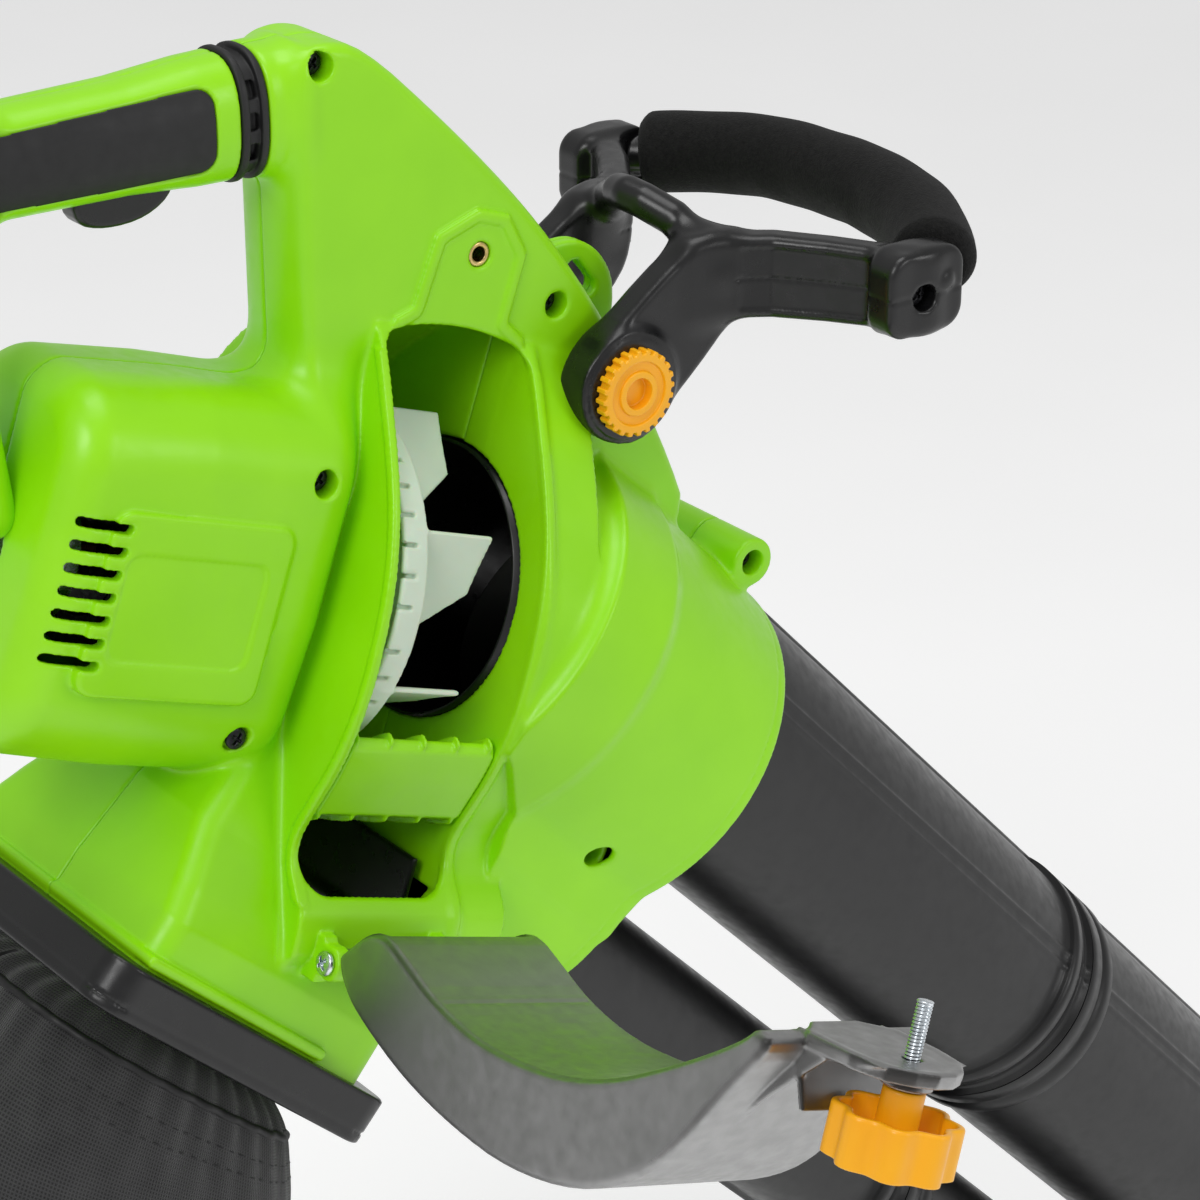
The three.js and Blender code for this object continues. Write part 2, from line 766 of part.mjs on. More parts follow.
// ---------------------------------------------------------------- service flap
// Drawn closed, then turned about its hinge to where it hangs open.
const FLAP_WALL = 2.6;
const flapTurn = new THREE.Matrix4()
  .multiply(shift(0, HINGE.y, HINGE.w))
  .multiply(new THREE.Matrix4().makeRotationX(rad(FLAP_OPEN)))
  .multiply(shift(0, -HINGE.y, -HINGE.w));
const FLAP_BACK = [
  [-28, 116],
  [-50, 99],
  [-78, 83],
  [-97, 66],
  [-112, 38],
  [-118, 1],
  [-115, -34],
  [-108, -67],
  [-96, -98],
  [-86, -114],
  [-76, -119],
];
const RIM_LINE = DRUM_RIGHT.slice(1, 13).toReversed();
const seatLine = RIM_LINE.map(([y, w]) => [y - 0.6, w]);
const FLAP_OUTLINE = [...FLAP_BACK, ...seatLine, [-25, 110]];
const flapShell = cut(
  prism(FLAP_OUTLINE, DRUM_REAR, DRUM_FRONT, END_VIEW),
  prism(
    [
      ...insetOutline(FLAP_OUTLINE, FLAP_WALL).slice(1, FLAP_BACK.length),
      [-60, -118],
      [-40, -60],
      [-40, 40],
      [-20, 100],
    ],
    DRUM_REAR + FLAP_WALL,
    DRUM_FRONT - FLAP_WALL,
    END_VIEW,
  ),
);
const TAB = [
  [4, 108],
  [4, 146],
  [20, 159],
  [36, 159],
  [49, 145],
  [49, 108],
];
const TAB_FACE = -SPINE_HALF - PAD_PROUD - 0.4;
const TAB_BACK = TAB_FACE - 3;
const tabHole = rod([INSERT.u, -80, INSERT.w], Y, 80, 3.5, 16);
const tab = prism(TAB, TAB_BACK, TAB_FACE, SIDE_VIEW);
const tabBoss = rod([INSERT.u, TAB_BACK - 7, INSERT.w], Y, 8, 9.5, 24);
const gusset = (u) =>
  prism(
    [
      [TAB_FACE - 1, 150],
      [TAB_FACE - 1, 108],
      [-70, 86],
      [-52, 102],
      [TAB_BACK - 4, 122],
    ],
    u,
    u + 2.5,
    END_VIEW,
  );
const barrel = rod([EARS[0][1] + GAP, HINGE.y, HINGE.w], X, EARS[1][0] - EARS[0][1] - 2 * GAP, 6, 20);
const barrelWeb = prism(
  [
    [HINGE.y - 5.6, HINGE.w],
    [HINGE.y + 2, HINGE.w + 5],
    [-78, -118],
    [-88, -112],
  ],
  EARS[0][1] + 2,
  EARS[1][0] - 2,
  END_VIEW,
);
const hingePinBore = rod([-20, HINGE.y, HINGE.w], X, 100, 2.4, 16);
// Two reliefs in the flap's front end clear the swell where the drum meets the hood.
const endRelief = (inner, foot, head) =>
  prism(
    [
      [inner, foot],
      [inner, head],
      [-50, head],
      [-50, foot],
    ],
    DRUM_FRONT - FLAP_WALL - 0.4,
    DRUM_FRONT + 1,
    END_VIEW,
  );
const flapBody = cut(
  union(flapShell, tab, tabBoss, gusset(5), gusset(45.5), barrel, barrelWeb),
  endRelief(-79, -8, 21),
  endRelief(-64, -104, -81),
  tabHole,
  hingePinBore,
);
add(core, "service_flap", flapBody.transform(flapTurn.elements), MATERIALS.smoked);

for (const [end, start, axis] of [
  ["rear", [EARS[0][0] - GAP, HINGE.y, HINGE.w], X.clone().negate()],
  ["front", [EARS[1][1] + GAP, HINGE.y, HINGE.w], X],
]) {
  const screw = panScrew(4.6, 3, 2, 22, start, axis);
  add(core, `flap_hinge_screw_${end}`, screw, MATERIALS.steel);
}

// The captive star knob on the tab, on its own screw.
const KNOB_RADIUS = 23.5;
const KNOB_SEAT = TAB_BACK - 7 - GAP;
function starOutline(radius, lobes, depth, steps = 5) {
  const count = lobes * steps;
  return Array.from({ length: count }, (_, i) => {
    const t = (2 * Math.PI * i) / count;
    const r = radius - depth * (0.5 - 0.5 * Math.cos(lobes * t));
    return [r * Math.cos(t), r * Math.sin(t)];
  });
}
function flapKnob() {
  const at = (list) => list.map(([a, b]) => [INSERT.u + a, INSERT.w + b]);
  const rim = KNOB_SEAT - 9;
  const base = rim - 27;
  const cup = cut(
    prism(at(starOutline(KNOB_RADIUS, 8, 3.2)), base, rim, SIDE_VIEW),
    prism(at(starOutline(KNOB_RADIUS - 3, 8, 3.2)), base + 4, rim + 5, SIDE_VIEW),
  );
  const stem = rod([INSERT.u, base + 1, INSERT.w], Y, KNOB_SEAT - base - 1, 7.6, 20);
  return cut(union(cup, stem), rod([INSERT.u, base + 8, INSERT.w], Y, 60, 3 + GAP, 16));
}
add(core, "flap_knob", flapKnob().transform(flapTurn.elements), MATERIALS.yellow);
const knobScrew = rod([INSERT.u, KNOB_SEAT - 22, INSERT.w], Y, -4 - KNOB_SEAT + 22, 3, 16);
add(core, "flap_knob_screw", knobScrew.transform(flapTurn.elements), MATERIALS.steel);

// ---------------------------------------------------------------- mode selector
const VANE_LENGTH = 35;
const vane = union(
  block([SELECTOR.u - 1.5, -50, SELECTOR.w], [SELECTOR.u + 1.5, 50, SELECTOR.w + VANE_LENGTH]),
  rod([SELECTOR.u, -50, SELECTOR.w], Y, 137, SELECTOR.radius, 16),
);
add(core, "diverter_vane", vane, MATERIALS.black);
const leverHub = cut(
  union(
    rod([SELECTOR.u, 78 + GAP, SELECTOR.w], Y, 15, 13, 20),
    block([SELECTOR.u - 5, 86, SELECTOR.w], [SELECTOR.u + 5, 93, SELECTOR.w + 38]),
  ),
  rod([SELECTOR.u, 70, SELECTOR.w], Y, 17 + GAP, SELECTOR.radius + GAP, 16),
);
add(core, "mode_lever", leverHub, MATERIALS.black);

// ---------------------------------------------------------------- tubes
function tube(centre, radius, wall, from, to, segments) {
  const profile = [
    [radius - wall, from],
    [radius, from],
    [radius, to],
    [radius - wall, to],
    [radius - wall, from],
  ];
  return turned(profile, [0, 0, centre], X, segments);
}
const TUBE_TOP = 140;
const band = (spec, at, segments) =>
  tube(spec.centre, spec.radius + 3, 3.4, at, at + 22, segments);
for (const [name, spec, segments] of [
  ["suction_tube", BIG_TUBE, 28],
  ["blow_tube", SMALL_TUBE, 24],
]) {
  const upper = union(
    tube(spec.centre, spec.radius, spec.wall, TUBE_TOP, TUBE_SPLIT, segments),
    band(spec, TUBE_SPLIT - 22, segments),
  );
  const lower = union(
    tube(spec.centre, spec.radius, spec.wall, TUBE_SPLIT + GAP, TUBE_END, segments),
    band(spec, TUBE_SPLIT + GAP, segments),
  );
  add(tubes, `${name}_upper`, upper, MATERIALS.satinBlack);
  add(tubes, `${name}_lower`, lower, MATERIALS.satinBlack);
}

// The wheel carrier clips round the blow tube.
const CARRIER = { from: AXLE.x - 20, to: AXLE.x + 20 };
const carrier = cut(
  union(
    rod([CARRIER.from, 0, SMALL_TUBE.centre], X, 40, SMALL_TUBE.radius + 4, 24),
    prism(
      [
        [CARRIER.from, SMALL_TUBE.centre - 20],
        [CARRIER.to, SMALL_TUBE.centre - 20],
        [AXLE.x + 9, AXLE.n - 9],
        [AXLE.x - 9, AXLE.n - 9],
      ],
      -30,
      30,
      SIDE_VIEW,
    ),
  ),
  rod([CARRIER.from - 5, 0, SMALL_TUBE.centre], X, 50, SMALL_TUBE.radius + 0.6, 24),
  rod([AXLE.x, -60, AXLE.n], Y, 120, AXLE.radius + GAP, 16),
);
add(tubes, "wheel_carrier", carrier, MATERIALS.black);
add(tubes, "axle", rod([AXLE.x, -57, AXLE.n], Y, 114, AXLE.radius, 12), MATERIALS.steel);
for (const [side, sign] of [["left", 1], ["right", -1]]) {
  const wheel = turned(
    [
      [AXLE.radius + GAP, 36],
      [12, 36],
      [12, 40],
      [WHEEL_RADIUS, 40],
      [WHEEL_RADIUS, 53],
      [AXLE.radius + GAP, 53],
      [AXLE.radius + GAP, 36],
    ],
    [AXLE.x, 0, AXLE.n],
    Y,
    24,
  );
  add(tubes, `wheel_${side}`, sign > 0 ? wheel : wheel.mirror([0, 1, 0]), MATERIALS.black);
}

// ---------------------------------------------------------------- bag frame and bag
const FRAME = { from: -33, to: 133, half: 80, top: 164, foot: 185, wall: 4 };
const frameSolid = (grow, top, foot) =>
  prism(
    ring(FRAME.from - grow, FRAME.to + grow, FRAME.half + grow, Math.max(4, 14 + grow), (s, y) => [
      s,
      y,
    ]),
    -foot,
    -top,
    PLAN_VIEW,
  );
const bagFrame = cut(
  frameSolid(0, FRAME.top, FRAME.foot),
  frameSolid(-FRAME.wall, FRAME.top - 5, FRAME.foot - 5),
  frameSolid(-18, FRAME.top - 5, FRAME.foot + 5),
);
add(machine, "bag_frame", bagFrame.transform(BAG.elements), MATERIALS.black);

// The bag hangs from the frame: its rings follow a line that starts square to the frame and drops.
function bagRing(x, z, tilt, depth, width, radius) {
  const c = Math.cos(rad(tilt));
  const s = Math.sin(rad(tilt));
  return ring(-depth, depth, width, radius, (a, y) => [x + a * c, y, z - a * s], 3);
}
const BAG_CLOTH = 3;
const bagSkin = (inset) =>
  loft([
    bagRing(-92 + inset, -171 + inset, BAG_PITCH, 60 - inset, 60 - inset, 20 - inset),
    bagRing(-97, -176, BAG_PITCH, 76 - inset, 72 - inset, 26 - inset),
    bagRing(-122, -214, 34, 92 - inset, 92 - inset, 40 - inset),
    bagRing(-146, -290, 18, 104 - inset, 108 - inset, 52 - inset),
    bagRing(-156, -380, 8, 106 - inset, 112 - inset, 56 - inset),
    bagRing(-158, -460, 2, 98 - inset, 106 - inset, 56 - inset),
    bagRing(-158, -508, 0, 78 - inset, 88 - inset, 54 - inset),
    bagRing(-158, -522 + inset, 0, 50 - inset, 58 - inset, 40 - inset),
  ]);
add(machine, "collecting_bag", cut(bagSkin(0), bagSkin(BAG_CLOTH)), MATERIALS.fabric);

// ---------------------------------------------------------------- front handle
const loopPoint = (y) => {
  const bow = LOOP.bow * (1 - Math.abs(y / LOOP.y) ** 2.5);
  const lift = rad(LOOP.rise);
  return [LOOP.x + bow * Math.cos(lift), y, LOOP.z + bow * Math.sin(lift)];
};
const loopPath = (half) => Array.from({ length: 13 }, (_, i) => loopPoint(-half + (half * i) / 6));
const ARM_ROOT = { x: 176, y: 38, z: 96 };
const plateRing = (x, y, z, halfHeight, thickness, lean) =>
  [
    [-0.7, -1],
    [0.7, -1],
    [1, -0.6],
    [1, 0.6],
    [0.7, 1],
    [-0.7, 1],
    [-1, 0.6],
    [-1, -0.6],
  ].map(([a, b]) => [
    x + a * thickness * lean[0],
    y + a * thickness * lean[1],
    z + b * halfHeight,
  ]);
function yokeSide() {
  const hub = rod([PIVOT.x, -HUB_OUTER, PIVOT.z], Y, HUB_OUTER - HUB_INNER, PIVOT.radius, 28);
  const cheek = prism(
    [
      [118, 79],
      [140, 36],
      [170, 62],
      [190, 82],
      [190, 116],
      [164, 112],
    ],
    -HUB_OUTER + 2,
    -HUB_INNER - 1,
    SIDE_VIEW,
  );
  const arm = loft([
    plateRing(ARM_ROOT.x, -ARM_ROOT.y, ARM_ROOT.z, 18, 8, [0.2, 0.98]),
    plateRing(202, -52, 96, 18, 8, [0.55, 0.83]),
    plateRing(224, -86, 96, 18, 7, [0.75, 0.66]),
    plateRing(236, -102, 97, 18, 6, [0.8, 0.6]),
  ]);
  const end = rod([LOOP.x - 9, -LOOP.y - 8, LOOP.z - 3], Y, 15, LOOP.radius, 20);
  return union(hub, cheek, arm, end);
}
const right = yokeSide();
const arch = swept(
  [
    [180, -38, 100],
    [178, -28, 114],
    [170, -14, 122],
    [166, 0, 125],
    [170, 14, 122],
    [178, 28, 114],
    [180, 38, 100],
  ],
  8,
  11,
  10,
  12,
);
const loopCore = swept(loopPath(100), 9, 9, 8, 16);
const yoke = cut(
  union(right, right.mirror([0, 1, 0]), arch, loopCore),
  rod([PIVOT.x, -80, PIVOT.z], Y, 160, 4.4, 16),
);
add(machine, "front_handle_yoke", yoke, MATERIALS.satinBlack);
const FOAM_HALF = 95.5;
const foam = cut(
  swept(loopPath(FOAM_HALF), LOOP.radius, LOOP.radius, 12, 16),
  swept(loopPath(100), 9.8, 9.8, 8, 16),
);
add(machine, "foam_grip", foam, MATERIALS.foam);

const pivotBolt = rod([PIVOT.x, -HUB_OUTER - 2, PIVOT.z], Y, 2 * HUB_OUTER + 4, 4, 16);
add(machine, "handle_pivot_bolt", pivotBolt, MATERIALS.steel);

// The toothed yellow lock knob on the right hub, and the plain cap on the left one.
function lockKnob() {
  const teeth = starOutline(18.5, 24, 1.8, 3).map(([a, b]) => [PIVOT.x + a, PIVOT.z + b]);
  return cut(
    prism(teeth, -HUB_OUTER - GAP - 6, -HUB_OUTER - GAP, SIDE_VIEW),
    rod([PIVOT.x, -HUB_OUTER - 20, PIVOT.z], Y, 40, 7, 20),
  );
}
add(machine, "lock_knob", lockKnob(), MATERIALS.yellow);
const pivotCap = cut(
  rod([PIVOT.x, HUB_OUTER + GAP, PIVOT.z], Y, 5, 17, 28),
  rod([PIVOT.x, HUB_OUTER - 5, PIVOT.z], Y, 8, 4.4, 16),
);
add(machine, "pivot_cap", pivotCap, MATERIALS.black);

// ---------------------------------------------------------------- rear handle
const HANDLE_FRONT = -31.3;
const damper = loft([
  gripRing(-30.9, GRIP_HALF_WIDTH, GRIP_HALF_HEIGHT),
  gripRing(-19.3, GRIP_HALF_WIDTH, GRIP_HALF_HEIGHT),
]);
add(machine, "handle_damper", damper, MATERIALS.rubber);

const handleLoft = loft([
  gripRing(HANDLE_FRONT, GRIP_HALF_WIDTH, GRIP_HALF_HEIGHT),
  gripRing(-45, GRIP_HALF_WIDTH, GRIP_HALF_HEIGHT),
  gripRing(-75, GRIP_HALF_WIDTH, 22),
  gripRing(-130, GRIP_HALF_WIDTH - 1, 21),
  gripRing(-152, GRIP_HALF_WIDTH, 24),
]);
const leg = loft([
  ring(-176, -134, 19, 8, (x, y) => [x, y, 212]),
  ring(-178, -138, 18, 8, (x, y) => [x, y, 170]),
  ring(-176, -140, 16, 8, (x, y) => [x, y, 120]),
  ring(-172, -132, 18, 8, (x, y) => [x, y, 62]),
]);
const TRIGGER_SLOT = block([-98, -6.5, 150], [-52, 6.5, 190]);
const panelPocket = block([-136, -25, 180], [-42, -15.5, 213]);
const rearHandle = cut(
  union(handleLoft, leg),
  TRIGGER_SLOT,
  panelPocket,
  panelPocket.mirror([0, 1, 0]),
  rod([-52, 4, GRIP_Z + 4], Y, 40, 5 + GAP, 20),
  housing,
);
add(machine, "rear_handle", largest(rearHandle), MATERIALS.green);
for (const [side, sign] of [["right", -1], ["left", 1]]) {
  const whole = handleLoft.intersect(
    block([-135.7, -25, 180.3], [-42.3, -15.8, 212.7]),
  );
  const placed = sign < 0 ? whole : whole.mirror([0, 1, 0]);
  const panel = cut(placed, rod([-52, 8, GRIP_Z + 4], Y, 40, 5 + GAP, 20));
  add(machine, `grip_panel_${side}`, panel, MATERIALS.rubber);
}

const TRIGGER_PIVOT = [-56, 181];
const trigger = prism(
  [
    [-54, 186],
    [-54, 172],
    [-66, 164],
    [-84, 163],
    [-96, 168],
    [-96, 182],
    [-80, 178],
    [-66, 180],
    [-60, 186],
  ],
  -6,
  6,
  SIDE_VIEW,
  1,
  1,
);
const triggerBore = rod([TRIGGER_PIVOT[0], -20, TRIGGER_PIVOT[1]], Y, 40, 1.6 + GAP, 12);
add(machine, "trigger", cut(trigger, triggerBore), MATERIALS.black);
const lockButton = rod([-52, 9, GRIP_Z + 4], Y, 14, 5, 20);
add(machine, "lock_on_button", lockButton, MATERIALS.black);

const gland = turned(
  [
    [4.2, 0],
    [11, 0],
    [11, 4],
    [8.5, 5],
    [7, 34],
    [4.2, 34],
    [4.2, 0],
  ],
  [-178.4, 0, GRIP_Z - 6],
  X.clone().negate(),
  20,
);
add(machine, "power_inlet_gland", gland, MATERIALS.rubber);

export default blower;
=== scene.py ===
"""The looks of a hand-held garden blower and vacuum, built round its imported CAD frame.

Moulded pieces are distance fields drawn in millimetres in the machine's own frame (origin at the
impeller's centre, x forward, z up), turned into meshes with OpenVDB and moved to the object's frame.
"""

import math

import bpy
import numpy as np
import openvdb
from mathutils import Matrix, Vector


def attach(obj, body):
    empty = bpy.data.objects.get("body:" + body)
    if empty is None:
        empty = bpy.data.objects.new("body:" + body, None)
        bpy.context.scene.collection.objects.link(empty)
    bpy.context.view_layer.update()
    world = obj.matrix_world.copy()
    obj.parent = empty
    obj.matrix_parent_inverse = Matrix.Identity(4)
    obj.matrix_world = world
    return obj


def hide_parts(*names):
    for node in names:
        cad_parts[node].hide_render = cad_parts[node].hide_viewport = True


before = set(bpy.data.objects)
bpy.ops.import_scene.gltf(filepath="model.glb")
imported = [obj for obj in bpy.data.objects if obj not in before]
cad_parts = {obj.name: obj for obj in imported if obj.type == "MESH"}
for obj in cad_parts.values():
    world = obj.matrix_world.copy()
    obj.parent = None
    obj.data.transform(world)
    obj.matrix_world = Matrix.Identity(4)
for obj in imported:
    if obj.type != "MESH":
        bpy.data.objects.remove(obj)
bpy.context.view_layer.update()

# ------------------------------------------------------------------ frames
MM = 0.001
MACHINE_AT = np.array([75.0, 0.0, -196.0])  # the impeller's centre in the object's frame
CORE_PITCH, TUBE_PITCH, BAG_PITCH = (math.radians(a) for a in (20, 46.3, 43.5))


def pitch(angle):
    """Matrix from a frame pitched nose-down about y to the machine's frame."""
    c, s = math.cos(angle), math.sin(angle)
    return np.array([[c, 0, s], [0, 1, 0], [-s, 0, c]])


CORE, TUBES, BAG = (pitch(a) for a in (CORE_PITCH, TUBE_PITCH, BAG_PITCH))
UPRIGHT = np.eye(3)
HINGE = np.array([0.0, -85.0, -136.0])  # the flap's hinge line, in the core frame
FLAP_OPEN = math.radians(85)


def roll(angle):
    """Matrix of a turn about the long axis."""
    c, s = math.cos(angle), math.sin(angle)
    return np.array([[1, 0, 0], [0, c, -s], [0, s, c]])


# The flap is drawn closed in the core frame and turned about its hinge to where it hangs open.
FLAP = CORE @ roll(FLAP_OPEN)
FLAP_AT = CORE @ (HINGE - roll(FLAP_OPEN) @ HINGE)


def basis(along):
    """Two unit vectors square to a direction and to each other."""
    along = np.array(along, float)
    helper = np.array([0, 0, 1.0]) if abs(along[2]) < 0.9 else np.array([1.0, 0, 0])
    side = np.cross(along, helper)
    side /= np.linalg.norm(side)
    return side, np.cross(along, side)


def local(matrix, x, z):
    """Coordinates of machine points in a pitched frame: along it and square to it."""
    return matrix[0, 0] * x + matrix[2, 0] * z, matrix[0, 2] * x + matrix[2, 2] * z


# ------------------------------------------------------------------ distance fields
def smin(a, b, k):
    h = np.clip(0.5 + 0.5 * (b - a) / k, 0, 1)
    return b + (a - b) * h - k * h * (1 - h)


def smax(a, b, k):
    return -smin(-a, -b, k)


def both(a, b, r=0.0):
    """The corner of two half-spaces, rounded by r."""
    if r == 0:
        return np.maximum(a, b)
    qa, qb = a + r, b + r
    return np.minimum(np.maximum(qa, qb), 0) + np.hypot(np.maximum(qa, 0), np.maximum(qb, 0)) - r


def polygon(points, a, b):
    """Signed distance from the points (a, b) to a closed outline."""
    a, b = np.broadcast_arrays(np.float32(a), np.float32(b))
    best = np.full(a.shape, 1e9, np.float32)
    inside = np.zeros(a.shape, bool)
    for (x0, y0), (x1, y1) in zip(points, points[1:] + points[:1]):
        ex, ey = x1 - x0, y1 - y0
        px, py = a - x0, b - y0
        f = np.clip((px * ex + py * ey) / (ex * ex + ey * ey), 0, 1)
        best = np.minimum(best, (px - ex * f) ** 2 + (py - ey * f) ** 2)
        if y1 != y0:
            crosses = ((y0 > b) != (y1 > b)) & (a < ex * py / ey + x0)
            inside ^= crosses
    return np.where(inside, -1, 1) * np.sqrt(best)


def rounded_box(a, b, half_a, half_b, r):
    qa, qb = np.abs(a) - half_a + r, np.abs(b) - half_b + r
    return np.minimum(np.maximum(qa, qb), 0) + np.hypot(np.maximum(qa, 0), np.maximum(qb, 0)) - r


def cylinder(a, b, along, radius, low, high, r=0.0):
    return both(np.hypot(a, b) - radius, np.maximum(low - along, along - high), r)


def smooth_outline(points, rounds=2):
    """Chaikin's corner cutting: a soft outline from a coarse one."""
    pts = np.array(points, float)
    for _ in range(rounds):
        nxt = np.roll(pts, -1, 0)
        pts = np.stack([0.75 * pts + 0.25 * nxt, 0.25 * pts + 0.75 * nxt], 1).reshape(-1, 2)
    return [tuple(p) for p in pts]


def mesh_object(name, vertices, faces, matrix=UPRIGHT, offset=(0, 0, 0)):
    """A smooth mesh from machine-frame millimetres (after matrix and offset) in the object's frame."""
    verts = (np.asarray(vertices, float) @ matrix.T + np.asarray(offset) + MACHINE_AT) * MM
    mesh = bpy.data.meshes.new(name)
    if isinstance(faces, np.ndarray):
        count, size = faces.shape
        mesh.vertices.add(len(verts))
        mesh.vertices.foreach_set("co", verts.astype(np.float32).ravel())
        mesh.loops.add(count * size)
        mesh.loops.foreach_set("vertex_index", faces.astype(np.int32).ravel())
        mesh.polygons.add(count)
        mesh.polygons.foreach_set("loop_start", np.arange(0, count * size, size, dtype=np.int32))
        mesh.update(calc_edges=True)
    else:
        mesh.from_pydata(verts.tolist(), [], [list(f) for f in faces])
    mesh.validate()
    mesh.polygons.foreach_set("use_smooth", np.ones(len(mesh.polygons), bool))
    obj = bpy.data.objects.new(name, mesh)
    bpy.context.scene.collection.objects.link(obj)
    return obj


def relax(points, quads, rounds, keep):
    """Evens out the small steps that voxels leave, without shrinking: a forward and a backward pass."""
    edges = np.concatenate([quads[:, [i, (i + 1) % 4]] for i in range(4)])
    count = np.bincount(edges.ravel(), minlength=len(points)).astype(float)[:, None]
    for i in range(2 * rounds):
        total = np.zeros_like(points)
        for axis in range(3):
            total[:, axis] = np.bincount(edges[:, 0], points[edges[:, 1], axis], len(points))
            total[:, axis] += np.bincount(edges[:, 1], points[edges[:, 0], axis], len(points))
        points = points + (keep if i % 2 == 0 else -keep * 1.04) * (total / np.maximum(count, 1) - points)
    return points


def grid_faces(rows, columns):
    """Quads between rows of points that each close on themselves."""
    i = np.arange(columns)
    k = (i + 1) % columns
    starts = np.arange(rows - 1) * columns
    return np.concatenate([np.stack([s + i, s + k, s + columns + k, s + columns + i], 1) for s in starts])


def mould(name, field, low, high, voxel, matrix=UPRIGHT, offset=(0, 0, 0), rounds=2):
    """A closed mesh of the zero surface of a field given in a local frame, in millimetres."""
    axes = [np.arange(a - 2 * voxel, b + 2 * voxel, voxel, dtype=np.float32) for a, b in zip(low, high)]
    out = np.empty([len(a) for a in axes], np.float32)
    chunk = max(1, int(3e6 / (len(axes[1]) * len(axes[2]))))
    for i in range(0, len(axes[0]), chunk):
        block = axes[0][i : i + chunk]
        out[i : i + chunk] = field(block[:, None, None], axes[1][None, :, None], axes[2][None, None, :])
    limit = 3 * voxel
    grid = openvdb.FloatGrid(limit)
    grid.copyFromArray(np.clip(out, -limit, limit))
    points, _, quads = grid.convertToPolygons(isovalue=0.0, adaptivity=0.0)
    points = relax(np.array(points, float), np.array(quads, np.int64), rounds, 0.55)
    points = points * voxel + np.array([a[0] for a in axes])
    return mesh_object(name, points, np.array(quads)[:, ::-1], matrix, offset)


# ------------------------------------------------------------------ materials
class Nodes:
    """A small builder for procedural materials."""

    def __init__(self, name):
        self.material = bpy.data.materials.new(name)
        self.material.use_nodes = True
        self.tree = self.material.node_tree
        self.shader = self.tree.nodes["Principled BSDF"]
        coords = self.tree.nodes.new("ShaderNodeTexCoord")
        self.position = coords.outputs["Object"]

    def set(self, **values):
        for key, value in values.items():
            self.shader.inputs[key.replace("_", " ")].default_value = value
        return self

    def node(self, kind, **values):
        made = self.tree.nodes.new(kind)
        for key, value in values.items():
            if key in made.inputs:
                made.inputs[key].default_value = value
            else:
                setattr(made, key, value)
        return made

    def link(self, a, b):
        self.tree.links.new(a, b)

    def noise(self, scale, detail=2.0, stretch=None):
        source = self.position
        if stretch:
            mapping = self.node("ShaderNodeMapping")
            mapping.inputs["Scale"].default_value = stretch
            self.link(source, mapping.inputs["Vector"])
            source = mapping.outputs["Vector"]
        made = self.node("ShaderNodeTexNoise", Scale=scale, Detail=detail)
        self.link(source, made.inputs["Vector"])
        return made.outputs["Fac"]

    def ramp(self, source, low, high, from_min=0.3, from_max=0.7):
        made = self.node("ShaderNodeMapRange")
        made.inputs["From Min"].default_value = from_min
        made.inputs["From Max"].default_value = from_max
        made.inputs["To Min"].default_value = low
        made.inputs["To Max"].default_value = high
        self.link(source, made.inputs["Value"])
        return made.outputs["Result"]

    def mix_colour(self, source, dark, light):
        made = self.node("ShaderNodeMix", data_type="RGBA")
        made.inputs["A"].default_value = (*dark, 1)
        made.inputs["B"].default_value = (*light, 1)
        self.link(source, made.inputs["Factor"])
        return made.outputs["Result"]

    def colour(self, source, dark, light):
        self.link(self.mix_colour(source, dark, light), self.shader.inputs["Base Color"])
        return self

    def roughness(self, source):
        self.link(source, self.shader.inputs["Roughness"])
        return self

    def bump(self, *layers):
        """Layers of (height, strength, distance in metres), stacked."""
        normal = None
        for height, strength, distance in layers:
            made = self.node("ShaderNodeBump", Strength=strength, Distance=distance)
            self.link(height, made.inputs["Height"])
            if normal is not None:
                self.link(normal, made.inputs["Normal"])
            normal = made.outputs["Normal"]
        self.link(normal, self.shader.inputs["Normal"])
        return self


def plastic(name, dark, light, rough, grain=2600, grain_depth=0.00002, **extra):
    """Injection-moulded plastic: spark-eroded grain, faint flow marks and handling wear."""
    m = Nodes(name)
    m.set(IOR=1.49, **extra)
    m.colour(m.ramp(m.noise(22, 3), 0, 1), dark, light)
    m.roughness(m.ramp(m.noise(160, 4), rough - 0.05, rough + 0.07))
    m.bump((m.noise(grain, 2), 0.35, grain_depth), (m.noise(45, 2), 0.12, 0.0001))
    return m.material


GREEN = plastic("green_moulded", (0.27, 0.70, 0.0), (0.30, 0.75, 0.002), 0.34, grain=1500,
                grain_depth=0.00004, Subsurface_Weight=0.0)
BLACK = plastic("black_moulded", (0.003, 0.003, 0.0033), (0.006, 0.006, 0.0065), 0.3, grain=2000)
TUBE_BLACK = plastic("tube_extruded", (0.003, 0.003, 0.0033), (0.006, 0.006, 0.0065), 0.36, grain=1800)
RUBBER = plastic("soft_overmould", (0.004, 0.004, 0.0045), (0.008, 0.008, 0.0085), 0.55, grain=1400,
                 grain_depth=0.00006)
YELLOW = plastic("yellow_moulded", (0.93, 0.40, 0.003), (0.97, 0.47, 0.006), 0.33, grain=2200)
NYLON = plastic("natural_nylon", (0.55, 0.66, 0.52), (0.64, 0.74, 0.60), 0.36, grain=1800,
                Subsurface_Weight=0.25, Subsurface_Scale=0.006)
SMOKED = plastic("smoked_clear", (0.02, 0.0195, 0.018), (0.036, 0.035, 0.033), 0.42, grain=1500,
                 grain_depth=0.00005, Transmission_Weight=0.38, Specular_IOR_Level=0.28)


